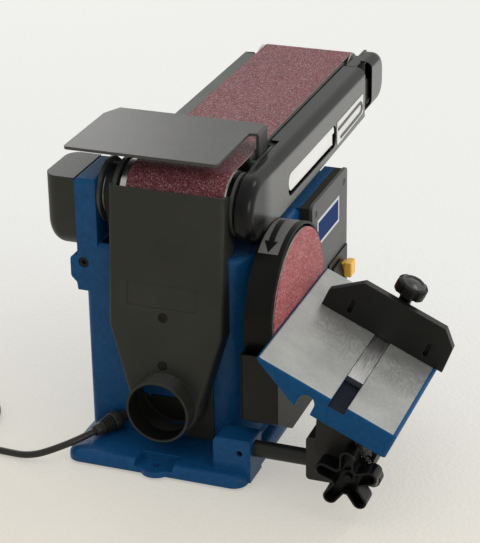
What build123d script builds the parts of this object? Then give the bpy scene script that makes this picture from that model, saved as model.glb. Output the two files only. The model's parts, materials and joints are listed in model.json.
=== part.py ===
from build123d import *
import os
from math import acos, asin, atan2, cos, hypot, pi, radians, sin, sqrt, tan

os.makedirs("parts", exist_ok=True)

# Belt and disc sander for a bench, in millimetres: X right, Y back, Z up.
# The origin lies on the bench, midway between the two bench bolts.

# Clearances
FIT = 0.05  # radial clearance of a running fit
PRESS = 0.02  # radial clearance of a pressed ring
AIR = 0.5  # between pieces that pass each other

# Abrasives
BELT_W = 100.0
BELT_LEN = 914.0
BELT_T = 0.9
DISC_D = 150.0
GRIT_T = 1.2

# Belt arm
BELT_TOP = 291.4  # working face of the belt above the bench
BELT_X = 3.7  # middle of the belt, right of the base's middle line
AXIS_Y = -65.0  # tilt axis of the arm and axis of the driven drum
DRUM_D = 64.0
IDLER_D = 42.0
PLATEN_T = 5.0
SHAFT_R = 5.0  # drum shaft at its bearings, and the idler's axle
DRUM_CORE_R = 8.0  # drum shaft inside the drum
BEARING_R = 13.0
BEARING_W = 8.0
SKIN = 2.5  # wall of the moulded covers
ARM_H = 56.0  # height of the arm's right cover
COVER_R = 10.0  # rounding of that cover and its end cap
TENSION_TRAVEL = 10.0

# Base casting
BASE_W = 187.0
BASE_L = 320.0
BASE_R = 14.0
FOOT_H = 3.0
FLANGE_H = 12.0
FLANGE_R = 8.0  # rounding of the flange's rim
WALL = 5.0
BOLT_IN = 10.0  # bench bolts in from the base's ends
BOLT_D = 9.0
LUG_R = 16.0
NOTCH_W = 40.0  # open pocket round the front bench bolt
NOTCH_D = 6.0
RECESS_H = 70.0  # recess over the rear bench bolt
FLANK_R = 34.0
BAND_W = 22.0
COVER_H = 47.0  # straight part of the left cover, above its round end
PANEL_W = 117.0  # switch panel
PANEL_H = 146.0

# Disc and motor
DISC_Y = -44.0
DISC_DROP = 105.0  # motor axis below the drum axis
SHELL_R = 47.0
NECK_R = 24.0
MOTOR_SHAFT_R = 7.5
MOTOR_BEARING_R = 17.5
MOTOR_BEARING_W = 11.0
MOTOR_PULLEY_R = 16.0
DRUM_PULLEY_R = 24.0
PULLEY_W = 10.0
TOOTH_BELT_T = 2.5

# Disc table
TABLE_L = 147.4
TABLE_W = 210.0
TABLE_TILT = 24.4
TABLE_GAP = 2.0
TABLE_T = 8.0
SKIRT_H = 26.0
SLOT_W = 17.3
SLOT_AT = 87.2
ROD_R = 8.25
ROD_Y = -130.0
ROD_Z = 34.5
PIVOT_DX = 91.0  # tilt bolt beyond the disc's face
PIVOT_Z = 47.5

# Dust chute
CHUTE_W = 118.0
CHUTE_LEAN = 5.0
CHUTE_R = 4.5  # rounding of its front edges
PORT_D = 64.5
PORT_Z = 64.0
PORT_OUT = 19.0
SCREW_X = -2.0

# Mains lead
CORD_D = 7.0
COIL_R = 42.0
COIL_BUNDLE_R = 10.5

# Derived places: the belt's run
drum_r = DRUM_D / 2
idler_r = IDLER_D / 2
axis_z = BELT_TOP - BELT_T - FIT - drum_r
idler_z = BELT_TOP - BELT_T - FIT - idler_r
mid_1 = drum_r + FIT + BELT_T / 2
mid_2 = idler_r + FIT + BELT_T / 2
span = BELT_LEN / 2
for _ in range(40):
    lean = asin((mid_1 - mid_2) / span)
    straight = (BELT_LEN - mid_1 * (pi + 2 * lean) - mid_2 * (pi - 2 * lean)) / 2
    span = sqrt(straight**2 + (mid_1 - mid_2) ** 2)
idler_y = AXIS_Y + straight

# Derived places from left to right
belt_x = (BELT_X - BELT_W / 2, BELT_X + BELT_W / 2)
drum_x = (belt_x[0] - 6.5, belt_x[1] + 1.3)
wall_l = (drum_x[0] - 7.7, drum_x[0] - 3.7)
wall_r = (drum_x[1] + 4.5, drum_x[1] + 7.5)
pulley_x = (wall_l[0] - 1.5 - PULLEY_W, wall_l[0] - 1.5)
hub_x = (pulley_x[0] - 4.0, pulley_x[0] - 1.0)
band_x = (hub_x[0] - AIR - BAND_W, hub_x[0] - AIR)
left_cover_x = (band_x[0] - 33.0, band_x[0])
tab_x = (wall_r[0] - 3.5, wall_r[0] - 0.5)
cover_x = (wall_r[1] + 3.7, wall_r[1] + 19.7)
side_l = band_x[0] + 6.5
side_r = cover_x[1] - 2.2
flange_x = (side_r, side_r + 3.0)
guard_x = (flange_x[1], flange_x[1] + 27.0)
disc_face = guard_x[1] + 2.0
box_out = disc_face + 8.5

# Derived heights and depths
frame_r = drum_r + BELT_T + 2.1
nose_z = axis_z - 3.0
nose_r = BELT_TOP - 1.0 - nose_z
housing_top = axis_z - frame_r - 10.4
band_half = 33.0
band_top = axis_z + 20.0
hub_r = BEARING_R + 2.5
disc_r = DISC_D / 2
disc_z = axis_z - DISC_DROP
guard_r = disc_r + 5.0
box_y = (DISC_Y - guard_r - 10.0, DISC_Y + guard_r + 10.0)
box_z = (disc_z - guard_r - 33.0, disc_z - 18.0)
platen_top = BELT_TOP - BELT_T - 0.3
front_y = AXIS_Y - band_half
rear_y = BASE_L / 2 - 5.0
bolt_y = BASE_L / 2 - BOLT_IN
flange_top = FOOT_H + FLANGE_H
arm_top = BELT_TOP - 2.0
arm_rear = idler_y + 36.0
split_y = idler_y - 38.0

# Leaning front face of the dust chute
chute_t = 2.5
chute_top_z = axis_z + 21.5
chute_top_y = AXIS_Y - frame_r - 7.0
lean_a = radians(CHUTE_LEAN)
chute_face = Plane(
    origin=(0, chute_top_y, chute_top_z), x_dir=(1, 0, 0), z_dir=(0, -cos(lean_a), sin(lean_a))
)
port_v = (PORT_Z - chute_top_z) / cos(lean_a)
port_face_y = chute_top_y + port_v * sin(lean_a)
port_front = port_face_y - PORT_OUT
chute_foot = flange_top + 1.2
screw_v = (0.587 * port_v, 0.818 * port_v)

# Table plane: X down the slope, Y along the machine, Z out of the table
tilt_a = radians(TABLE_TILT)
table_x = disc_face + TABLE_GAP
table_z = disc_z + 4.5
table_y = (DISC_Y - 130.0, DISC_Y - 130.0 + TABLE_W)
table_top_plane = Plane(
    origin=(table_x, 0, table_z), x_dir=(cos(tilt_a), 0, -sin(tilt_a)), z_dir=(sin(tilt_a), 0, cos(tilt_a))
)
pivot_x = disc_face + PIVOT_DX
bracket_y = (ROD_Y - 15.0, ROD_Y + 15.0)
ear_y = (bracket_y[0] - AIR - 11.0, bracket_y[0] - AIR)


def block(x, y, z, mode=Mode.ADD):
    with Locations(((x[0] + x[1]) / 2, (y[0] + y[1]) / 2, (z[0] + z[1]) / 2)):
        Box(x[1] - x[0], y[1] - y[0], z[1] - z[0], mode=mode)


def rod_x(x, y, z, r, mode=Mode.ADD):
    with Locations(Location(((x[0] + x[1]) / 2, y, z), (0, 90, 0))):
        Cylinder(r, x[1] - x[0], mode=mode)


def rod_y(x, y, z, r, mode=Mode.ADD):
    with Locations(Location((x, (y[0] + y[1]) / 2, z), (90, 0, 0))):
        Cylinder(r, y[1] - y[0], mode=mode)


def rod_z(x, y, z, r, mode=Mode.ADD):
    with Locations((x, y, (z[0] + z[1]) / 2)):
        Cylinder(r, z[1] - z[0], mode=mode)


def tangent_loop(c1, r1, c2, r2, mode=Mode.ADD):
    # Outline of a band stretched round two circles
    turn = atan2(c2[1] - c1[1], c2[0] - c1[0])
    side = acos((r1 - r2) / hypot(c2[0] - c1[0], c2[1] - c1[1]))

    def on(c, r, a):
        return (c[0] + r * cos(a), c[1] + r * sin(a))

    with BuildLine() as rim:
        Line(on(c1, r1, turn + side), on(c2, r2, turn + side))
        ThreePointArc(on(c2, r2, turn + side), on(c2, r2, turn), on(c2, r2, turn - side))
        Line(on(c2, r2, turn - side), on(c1, r1, turn - side))
        ThreePointArc(on(c1, r1, turn - side), on(c1, r1, turn + pi), on(c1, r1, turn + side))
    make_face(rim.edges(), mode=mode)


def chute_outline(inset, above):
    # Straight sides, a taper and a round end about the outlet
    half = CHUTE_W / 2 - inset
    low = PORT_D / 2 + 4.0 - inset
    with BuildLine() as rim:
        Polyline(
            (-half, above),
            (half, above),
            (half, 0.65 * port_v),
            (low, port_v),
            (-low, port_v),
            (-half, 0.65 * port_v),
            close=True,
        )
    make_face(rim.edges())
    with Locations((0, port_v)):
        Circle(low)


# Base casting: flange with bench lugs, hollow housing, left upright with its ear, boss for the table rod
gland_at = (side_l + 35.0, front_y, flange_top + 11.5)
gland_dir = (-0.47, -0.88, -0.11)
lock_at = (band_x[0] + 6.2, axis_z - 68.0)
boss_x = (side_r - 22.0, BASE_W / 2 + 2.5)
boss_y = (ROD_Y - 16.0, ROD_Y + 16.0)
boss_top = ROD_Z + ROD_R + 5.2
switch_y = (box_y[1] + 1.0, box_y[1] + 1.0 + PANEL_W)
switch_z = (housing_top + 3.0 - PANEL_H, housing_top + 3.0)
bay_x = side_r + 11.5
panel_x = side_r + 15.0
switch_corners = [
    (y, z)
    for y in (switch_y[0] + 11.0, switch_y[1] - 12.0)
    for z in (switch_z[0] + 11.0, switch_z[1] - 13.0)
]

with BuildPart() as base_casting:
    with BuildSketch(Plane.XY.offset(FOOT_H)):
        RectangleRounded(BASE_W, BASE_L, BASE_R)
        with Locations((0, -bolt_y), (0, bolt_y)):
            Circle(LUG_R)
    extrude(amount=FLANGE_H)
    fillet(base_casting.faces().sort_by(Axis.Z)[-1].edges(), FLANGE_R)
    with BuildSketch(Plane.XY.offset(FOOT_H)):
        with BuildLine():
            FilletPolyline(
                (side_l, front_y),
                (side_r, front_y),
                (side_r, rear_y),
                (side_l, rear_y),
                radius=[8.0, FLANK_R, 12.0, 12.0],
                close=True,
            )
        make_face()
    extrude(amount=housing_top - FOOT_H)
    fillet(base_casting.faces().sort_by(Axis.Z)[-1].edges(), 6.0)
    with BuildSketch(Plane.XY.offset(flange_top)):
        with Locations(((side_l + side_r) / 2, (front_y + rear_y) / 2)):
            RectangleRounded(side_r - side_l + 1.0, rear_y - front_y - 1.0, 12.0)
    extrude(amount=7.0, taper=30)
    with BuildSketch(chute_face.offset(-chute_t)):
        with Locations((SCREW_X, screw_v[0]), (SCREW_X, screw_v[1])):
            Circle(6.0)
    extrude(amount=-26.0)
    with BuildSketch(Plane.XY.offset(FOOT_H - 1.0)):
        with BuildLine():
            FilletPolyline(
                (side_l + WALL, front_y + WALL),
                (side_r - WALL, front_y + WALL),
                (side_r - WALL, rear_y - WALL),
                (side_l + WALL, rear_y - WALL),
                radius=[3.0, FLANK_R - WALL, 7.0, 7.0],
                close=True,
            )
        make_face()
    extrude(amount=housing_top - WALL - FOOT_H + 1.0, mode=Mode.SUBTRACT)
    with BuildSketch(Plane.XY.offset(FOOT_H)):
        RectangleRounded(BASE_W - 16.0, BASE_L - 16.0, BASE_R - 6.0)
        with Locations((0, bolt_y)):
            Circle(LUG_R, mode=Mode.SUBTRACT)
        with Locations((0, -bolt_y)):
            Rectangle(NOTCH_W + 2 * WALL, NOTCH_W, mode=Mode.SUBTRACT)
        with GridLocations(BASE_W - 32.0, BASE_L - 40.0, 2, 2):
            Circle(14.0, mode=Mode.SUBTRACT)
    extrude(amount=FLANGE_H - WALL, mode=Mode.SUBTRACT)
    rod_z(0, bolt_y, (FOOT_H, flange_top + RECESS_H + WALL), LUG_R)
    block((-LUG_R - 1, LUG_R + 1), (rear_y, rear_y + 80.0), (flange_top, housing_top), Mode.SUBTRACT)
    rod_z(0, bolt_y, (flange_top, flange_top + RECESS_H), LUG_R - WALL, Mode.SUBTRACT)
    block(
        (WALL - LUG_R, LUG_R - WALL),
        (bolt_y, rear_y + 80.0),
        (flange_top, flange_top + RECESS_H),
        Mode.SUBTRACT,
    )
    block(band_x, (front_y, AXIS_Y + band_half), (axis_z - 98.0, band_top))
    fillet(base_casting.faces().sort_by(Axis.Z)[-1].edges(), 3.0)
    with BuildSketch(Plane.XZ.offset(-front_y - 18.0)):
        with BuildLine():
            FilletPolyline(
                (band_x[0] + 2.0, axis_z - 61.0),
                (band_x[0] - 8.0, axis_z - 61.5),
                (band_x[0] - 8.0, axis_z - 84.0),
                (band_x[0] - 2.0, axis_z - 90.0),
                (band_x[0] - 1.0, axis_z - 98.0),
                (band_x[0] + 2.0, axis_z - 98.0),
                radius=[0.4, 5.0, 5.0, 3.0, 1.0, 0.4],
                close=True,
            )
        make_face()
    extrude(amount=18.0)
    block(boss_x, boss_y, (FOOT_H + 1.0, boss_top))
    boss_rim = base_casting.edges().filter_by_position(Axis.Z, boss_top - 0.1, boss_top + 0.1)
    boss_rim = boss_rim.filter_by_position(Axis.X, boss_x[0] - 0.1, boss_x[1] + 0.1)
    fillet(boss_rim.filter_by_position(Axis.Y, boss_y[0] - 0.1, boss_y[1] + 0.1), 4.0)
    with BuildSketch(chute_face.offset(-chute_t)):
        with Locations((SCREW_X, screw_v[0]), (SCREW_X, screw_v[1])):
            Circle(2.0 + PRESS)
    extrude(amount=-14.0, mode=Mode.SUBTRACT)
    rod_x((band_x[0] - 1, band_x[1] + 1), AXIS_Y, axis_z, hub_r + FIT, Mode.SUBTRACT)
    rod_x((side_r - WALL - 1, side_r + 1), DISC_Y, disc_z, NECK_R + 1.0, Mode.SUBTRACT)
    block(
        (pulley_x[0] - 2.5, pulley_x[1] + 2.5),
        (AXIS_Y - DRUM_PULLEY_R - 5.0, AXIS_Y + DRUM_PULLEY_R + 9.0),
        (housing_top - WALL - 1.0, housing_top + 1.0),
        Mode.SUBTRACT,
    )
    rod_x((boss_x[0] - 1, boss_x[1] + 1), ROD_Y, ROD_Z, ROD_R + FIT, Mode.SUBTRACT)
    rod_y(boss_x[1] - 11.0, (boss_y[0] - 1, ROD_Y), ROD_Z, 3.0 + PRESS, Mode.SUBTRACT)
    rod_y(lock_at[0], (front_y - 1, front_y + 26.0), lock_at[1], 3.0 + PRESS, Mode.SUBTRACT)
    rod_y(lock_at[0], (front_y - 1, front_y + 6.0), lock_at[1], 5.4, Mode.SUBTRACT)
    block(
        (-NOTCH_W / 2, NOTCH_W / 2),
        (-bolt_y - LUG_R - 1, -bolt_y + 12.0),
        (flange_top - NOTCH_D, flange_top + 1),
        Mode.SUBTRACT,
    )
    for end in (-1, 1):
        rod_z(0, end * bolt_y, (FOOT_H - 1, flange_top + 1), BOLT_D / 2, Mode.SUBTRACT)
    with BuildSketch(Plane(origin=gland_at, z_dir=gland_dir)):
        Circle(6.0 + PRESS)
    extrude(amount=16.0, both=True, mode=Mode.SUBTRACT)
    block((side_r - 10.0, bay_x), switch_y, (switch_z[0], switch_z[1] - 3.0))
    block(
        (side_r - WALL - 1, bay_x + 1),
        (switch_y[0] + 6.0, switch_y[1] - 6.0),
        (switch_z[0] + 6.0, switch_z[1] - 9.0),
        Mode.SUBTRACT,
    )
    for corner in switch_corners:
        rod_x((side_r - 4.0, bay_x), corner[0], corner[1], 7.0)
        rod_x((side_r - 3.0, bay_x + 1), corner[0], corner[1], 2.0 + PRESS, Mode.SUBTRACT)
base_casting.part.label = "base_casting"
export_step(base_casting.part, "parts/base_casting.step")

# Four rubber feet
with BuildPart() as rubber_feet:
    with GridLocations(BASE_W - 32.0, BASE_L - 40.0, 2, 2):
        Cylinder(11.0, FOOT_H, align=(Align.CENTER, Align.CENTER, Align.MIN))
rubber_feet.part.label = "rubber_feet"
export_step(rubber_feet.part, "parts/rubber_feet.step")

# Motor shell with its left end wall
shell_x = (pulley_x[1] + 10.0, side_r - FLANK_R)
with BuildPart() as motor_shell:
    rod_x(shell_x, DISC_Y, disc_z, SHELL_R)
    rod_x((shell_x[0] + 4.0, shell_x[1] + 1), DISC_Y, disc_z, SHELL_R - 3.0, Mode.SUBTRACT)
    rod_x((shell_x[0], shell_x[0] + MOTOR_BEARING_W + 3.0), DISC_Y, disc_z, MOTOR_BEARING_R + 4.0)
    rod_x((shell_x[0] - 1, shell_x[0] + 20.0), DISC_Y, disc_z, MOTOR_SHAFT_R + 3.0, Mode.SUBTRACT)
    rod_x(
        (shell_x[0] + 3.0, shell_x[0] + 20.0), DISC_Y, disc_z, MOTOR_BEARING_R + PRESS, Mode.SUBTRACT
    )
motor_shell.part.label = "motor_shell"
export_step(motor_shell.part, "parts/motor_shell.step")

# Right end of the motor: a lid on the shell, a neck for the bearing, a flange on the housing
with BuildPart() as motor_flange:
    rod_x((shell_x[1], shell_x[1] + 4.0), DISC_Y, disc_z, SHELL_R)
    rod_x((shell_x[1], flange_x[1]), DISC_Y, disc_z, NECK_R)
    rod_x(flange_x, DISC_Y, disc_z, NECK_R + 8.0)
    rod_x((shell_x[0], flange_x[1] + 1), DISC_Y, disc_z, MOTOR_SHAFT_R + 3.0, Mode.SUBTRACT)
    rod_x(
        (shell_x[0], flange_x[1] - 3.0), DISC_Y, disc_z, MOTOR_BEARING_R + PRESS, Mode.SUBTRACT
    )
motor_flange.part.label = "motor_flange"
export_step(motor_flange.part, "parts/motor_flange.step")

# Stator, pressed into the shell
core_x = (shell_x[0] + 25.0, shell_x[1] - 20.0)
with BuildPart() as stator:
    rod_x(core_x, DISC_Y, disc_z, SHELL_R - 3.0 - PRESS)
    rod_x((core_x[0] - 10.0, core_x[1] + 10.0), DISC_Y, disc_z, SHELL_R - 9.0)
    rod_x((core_x[0] - 11.0, core_x[1] + 11.0), DISC_Y, disc_z, SHELL_R - 23.0, Mode.SUBTRACT)
stator.part.label = "stator"
export_step(stator.part, "parts/stator.step")

# Bearings of the motor shaft
with BuildPart() as motor_bearings:
    rod_x((shell_x[0] + 3.0, shell_x[0] + 3.0 + MOTOR_BEARING_W), DISC_Y, disc_z, MOTOR_BEARING_R)
    rod_x((flange_x[1] - 3.0 - MOTOR_BEARING_W, flange_x[1] - 3.0), DISC_Y, disc_z, MOTOR_BEARING_R)
    rod_x((shell_x[0], flange_x[1]), DISC_Y, disc_z, MOTOR_SHAFT_R + FIT, Mode.SUBTRACT)
motor_bearings.part.label = "motor_bearings"
export_step(motor_bearings.part, "parts/motor_bearings.step")

# Motor shaft, from the pulley to the disc
with BuildPart() as motor_shaft:
    rod_x((pulley_x[0] - 1.0, disc_face - 6.0), DISC_Y, disc_z, MOTOR_SHAFT_R)
motor_shaft.part.label = "motor_shaft"
export_step(motor_shaft.part, "parts/motor_shaft.step")

# Rotor and its cooling fan
with BuildPart() as rotor:
    rod_x((core_x[0] - 4.0, core_x[1] + 4.0), DISC_Y, disc_z, SHELL_R - 23.0 - AIR)
    rod_x((core_x[0] - 5.0, core_x[1] + 5.0), DISC_Y, disc_z, MOTOR_SHAFT_R + PRESS, Mode.SUBTRACT)
rotor.part.label = "rotor"
export_step(rotor.part, "parts/rotor.step")

fan_x = (core_x[1] + 12.0, core_x[1] + 16.0)
with BuildPart() as motor_fan:
    rod_x(fan_x, DISC_Y, disc_z, 14.0)
    with BuildSketch(Plane.YZ.offset(fan_x[0])):
        with Locations((DISC_Y, disc_z)):
            with PolarLocations(25.0, 8):
                Rectangle(26.0, 7.0)
    extrude(amount=fan_x[1] - fan_x[0])
    rod_x((fan_x[0] - 1, fan_x[1] + 1), DISC_Y, disc_z, MOTOR_SHAFT_R + PRESS, Mode.SUBTRACT)
motor_fan.part.label = "motor_fan"
export_step(motor_fan.part, "parts/motor_fan.step")


def pulley(y, z, r, bore):
    rod_x(pulley_x, y, z, r)
    rod_x((pulley_x[0], pulley_x[0] + 1.0), y, z, r + 2.4)
    rod_x((pulley_x[1] - 1.0, pulley_x[1]), y, z, r + 2.4)
    rod_x((pulley_x[0] - 1, pulley_x[1] + 1), y, z, bore + PRESS, Mode.SUBTRACT)


# Toothed drive from the motor to the drum
with BuildPart() as motor_pulley:
    pulley(DISC_Y, disc_z, MOTOR_PULLEY_R, MOTOR_SHAFT_R)
motor_pulley.part.label = "motor_pulley"
export_step(motor_pulley.part, "parts/motor_pulley.step")

with BuildPart() as drum_pulley:
    pulley(AXIS_Y, axis_z, DRUM_PULLEY_R, DRUM_CORE_R)
drum_pulley.part.label = "drum_pulley"
export_step(drum_pulley.part, "parts/drum_pulley.step")

with BuildPart() as drive_belt:
    with BuildSketch(Plane.YZ.offset(pulley_x[0] + 1.3)):
        tangent_loop(
            (DISC_Y, disc_z),
            MOTOR_PULLEY_R + FIT + TOOTH_BELT_T,
            (AXIS_Y, axis_z),
            DRUM_PULLEY_R + FIT + TOOTH_BELT_T,
        )
        tangent_loop(
            (DISC_Y, disc_z),
            MOTOR_PULLEY_R + FIT,
            (AXIS_Y, axis_z),
            DRUM_PULLEY_R + FIT,
            Mode.SUBTRACT,
        )
    extrude(amount=PULLEY_W - 2.6)
drive_belt.part.label = "drive_belt"
export_step(drive_belt.part, "parts/drive_belt.step")

# Domed cover on the left of the upright
with BuildPart() as left_cover:
    with BuildSketch(Plane.YZ.offset(left_cover_x[1])):
        with Locations((AXIS_Y, band_top - COVER_H / 2)):
            Rectangle(2 * band_half, COVER_H)
        with Locations((AXIS_Y, band_top - COVER_H)):
            Circle(band_half)
    extrude(amount=left_cover_x[0] - left_cover_x[1])
    outer = left_cover.faces().sort_by(Axis.X)[0]
    fillet(outer.edges().sort_by(Axis.Z)[:-1], 14.0)
    with BuildSketch(Plane.YZ.offset(left_cover_x[1])):
        with Locations((AXIS_Y, band_top - COVER_H / 2 - 3.0)):
            Rectangle(2 * band_half - 6.0, COVER_H)
        with Locations((AXIS_Y, band_top - COVER_H)):
            Circle(band_half - 3.0)
    extrude(amount=left_cover_x[0] - left_cover_x[1] + 12.0, mode=Mode.SUBTRACT)
left_cover.part.label = "left_cover"
export_step(left_cover.part, "parts/left_cover.step")

# Socket screw that locks the arm's tilt
with BuildPart() as arm_lock_screw:
    rod_y(lock_at[0], (front_y + 0.6, front_y + 6.0), lock_at[1], 5.0)
    rod_y(lock_at[0], (front_y + 6.0, front_y + 25.0), lock_at[1], 3.0)
    with BuildSketch(Plane.XZ.offset(-front_y - 0.6)):
        with Locations(lock_at):
            RegularPolygon(2.5, 6)
    extrude(amount=-3.0, mode=Mode.SUBTRACT)
arm_lock_screw.part.label = "arm_lock_screw"
export_step(arm_lock_screw.part, "parts/arm_lock_screw.step")

# Front dust chute with its round outlet
cheek_x = (CHUTE_W / 2 - chute_t, CHUTE_W / 2)
with BuildPart() as dust_chute:
    with BuildSketch(chute_face):
        chute_outline(0.0, 0.0)
    extrude(amount=-60.0)
    fillet(dust_chute.faces().sort_by(Axis.Y)[0].edges().sort_by(Axis.Z)[:-1], CHUTE_R)
    rod_y(0, (port_front, front_y), PORT_Z, PORT_D / 2)
    block((-200, 200), (front_y, 100), (-50, 400), Mode.SUBTRACT)
    rod_x((-200, 200), AXIS_Y, axis_z, frame_r + 2.0, Mode.SUBTRACT)
    with BuildSketch(chute_face.offset(-chute_t)):
        chute_outline(chute_t, 20.0)
    extrude(amount=-80.0, mode=Mode.SUBTRACT)
    with BuildSketch(Plane.XZ.offset(-front_y)):
        with BuildLine():
            Polyline(
                (12.0, chute_foot),
                (PORT_D / 2 + 6.0, chute_foot),
                (PORT_D / 2 + 9.0, chute_foot + 3.0),
                (PORT_D / 2 + 9.0, PORT_Z + 36.0),
                (PORT_D / 2 - 4.0, PORT_Z + 12.0),
                (24.0, PORT_Z - 7.0),
                (-34.0, PORT_Z - 7.0),
                (-27.0, PORT_Z - 23.0),
                (-12.0, PORT_Z - 33.0),
                (12.0, PORT_Z - 33.0),
                close=True,
            )
        make_face()
    extrude(amount=1.8)
    with BuildSketch(Plane.YZ.offset(cheek_x[0])):
        with BuildLine():
            Polyline(
                (front_y - 4.0, housing_top + 2.0),
                (AXIS_Y - 20.0, housing_top + 2.0),
                (AXIS_Y - 14.0, axis_z - 10.0),
                (AXIS_Y - 14.0, axis_z + 12.0),
                (chute_top_y + 4.0, chute_top_z - 0.3),
                (chute_top_y + 1.0, chute_top_z - 0.3),
                close=True,
            )
        make_face()
    extrude(amount=cheek_x[1] - cheek_x[0])
    rod_y(0, (port_front - 1, front_y), PORT_Z, PORT_D / 2 - chute_t, Mode.SUBTRACT)
    with BuildSketch(chute_face):
        with Locations((-3.5, 0.488 * port_v)):
            Rectangle(72.0, 25.0)
    extrude(amount=-0.8, mode=Mode.SUBTRACT)
    with BuildSketch(chute_face):
        with Locations((SCREW_X, screw_v[0]), (SCREW_X, screw_v[1])):
            Circle(5.0)
    extrude(amount=-1.2, mode=Mode.SUBTRACT)
    with BuildSketch(chute_face):
        with Locations((SCREW_X, screw_v[0]), (SCREW_X, screw_v[1])):
            Circle(2.3)
    extrude(amount=-chute_t - 1, mode=Mode.SUBTRACT)
dust_chute.part.label = "dust_chute"
export_step(dust_chute.part, "parts/dust_chute.step")

with BuildPart() as chute_screws:
    with BuildSketch(chute_face.offset(-1.2)):
        with Locations((SCREW_X, screw_v[0]), (SCREW_X, screw_v[1])):
            Circle(4.3)
    extrude(amount=1.0)
    with BuildSketch(chute_face.offset(-1.2)):
        with Locations((SCREW_X, screw_v[0]), (SCREW_X, screw_v[1])):
            Circle(2.0)
    extrude(amount=-13.0)
    with BuildSketch(chute_face.offset(-0.2)):
        with Locations((SCREW_X, screw_v[0]), (SCREW_X, screw_v[1])):
            Rectangle(5.0, 1.1)
            Rectangle(1.1, 5.0)
    extrude(amount=-0.7, mode=Mode.SUBTRACT)
chute_screws.part.label = "chute_screws"
export_step(chute_screws.part, "parts/chute_screws.step")

# Guard round the upper part of the disc, with its back plate
with BuildPart() as disc_guard:
    rod_x(guard_x, DISC_Y, disc_z, guard_r)
    rod_x((guard_x[0] + 2.5, guard_x[1] + 1), DISC_Y, disc_z, guard_r - 2.5, Mode.SUBTRACT)
    block((guard_x[0] + 2.5, guard_x[1] + 1), box_y, (0, box_z[1] + 0.3), Mode.SUBTRACT)
    with BuildSketch(Plane.YZ.offset(guard_x[0])):
        with BuildLine():
            Polyline(
                (box_y[0], box_z[1] + 0.3),
                (box_y[0], box_z[0] + 26.0),
                (box_y[0] + 42.0, box_z[0]),
                (box_y[1] - 42.0, box_z[0]),
                (box_y[1], box_z[0] + 26.0),
                (box_y[1], box_z[1] + 0.3),
                close=True,
            )
        make_face()
    extrude(amount=2.5)
    rod_x((guard_x[0] - 1, guard_x[0] + 3), DISC_Y, disc_z, MOTOR_SHAFT_R + 5.0, Mode.SUBTRACT)
disc_guard.part.label = "disc_guard"
export_step(disc_guard.part, "parts/disc_guard.step")


def box_outline(inset, above):
    with BuildLine() as rim:
        Polyline(
            (box_y[0] + inset, box_z[1] + above),
            (box_y[0] + inset, box_z[0] + 26.0 + inset / 2),
            (box_y[0] + 42.0 + inset / 2, box_z[0] + inset),
            (box_y[1] - 42.0 - inset / 2, box_z[0] + inset),
            (box_y[1] - inset, box_z[0] + 26.0 + inset / 2),
            (box_y[1] - inset, box_z[1] + above),
            close=True,
        )
    make_face(rim.edges())


# Box guard over the lower part of the disc
with BuildPart() as lower_guard:
    with BuildSketch(Plane.YZ.offset(guard_x[0] + 2.5)):
        box_outline(0.0, 0.0)
    extrude(amount=box_out - guard_x[0] - 2.5)
    with BuildSketch(Plane.YZ.offset(guard_x[0] + 1.5)):
        box_outline(SKIN, 5.0)
    extrude(amount=box_out - guard_x[0] - 1.5 - SKIN, mode=Mode.SUBTRACT)
lower_guard.part.label = "lower_guard"
export_step(lower_guard.part, "parts/lower_guard.step")

# Disc and its abrasive
with BuildPart() as disc_plate:
    rod_x((disc_face - GRIT_T - 9.5, disc_face - GRIT_T), DISC_Y, disc_z, disc_r)
    rod_x((guard_x[0] + 6.0, disc_face - GRIT_T - 9.5), DISC_Y, disc_z, 19.0)
    rod_x((guard_x[0], disc_face - 5.5), DISC_Y, disc_z, MOTOR_SHAFT_R + PRESS, Mode.SUBTRACT)
disc_plate.part.label = "disc_plate"
export_step(disc_plate.part, "parts/disc_plate.step")

with BuildPart() as abrasive_disc:
    rod_x((disc_face - GRIT_T, disc_face), DISC_Y, disc_z, disc_r)
abrasive_disc.part.label = "abrasive_disc"
export_step(abrasive_disc.part, "parts/abrasive_disc.step")

# Switch panel on its bay at the right of the housing
switch_at = (switch_y[0] + 82.0, switch_z[0] + 38.0)
with BuildPart() as switch_panel:
    with BuildSketch(Plane.YZ.offset(bay_x)):
        with Locations(((switch_y[0] + switch_y[1]) / 2, (switch_z[0] + switch_z[1]) / 2)):
            RectangleRounded(switch_y[1] - switch_y[0], switch_z[1] - switch_z[0], 5.0)
    extrude(amount=panel_x - bay_x)
    for corner in switch_corners:
        rod_x((bay_x - 1, panel_x + 1), corner[0], corner[1], 2.3, Mode.SUBTRACT)
        rod_x((panel_x - 1.5, panel_x + 1), corner[0], corner[1], 4.0, Mode.SUBTRACT)
    block(
        (bay_x - 1, panel_x + 1),
        (switch_at[0] - 28.0, switch_at[0] + 28.0),
        (switch_at[1] - 18.0, switch_at[1] + 18.0),
        Mode.SUBTRACT,
    )
switch_panel.part.label = "switch_panel"
export_step(switch_panel.part, "parts/switch_panel.step")

with BuildPart() as switch_screws:
    for corner in switch_corners:
        rod_x((panel_x - 1.5, panel_x - 0.2), corner[0], corner[1], 3.6)
        rod_x((side_r - 2.0, panel_x - 1.5), corner[0], corner[1], 2.0)
switch_screws.part.label = "switch_screws"
export_step(switch_screws.part, "parts/switch_screws.step")

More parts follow.
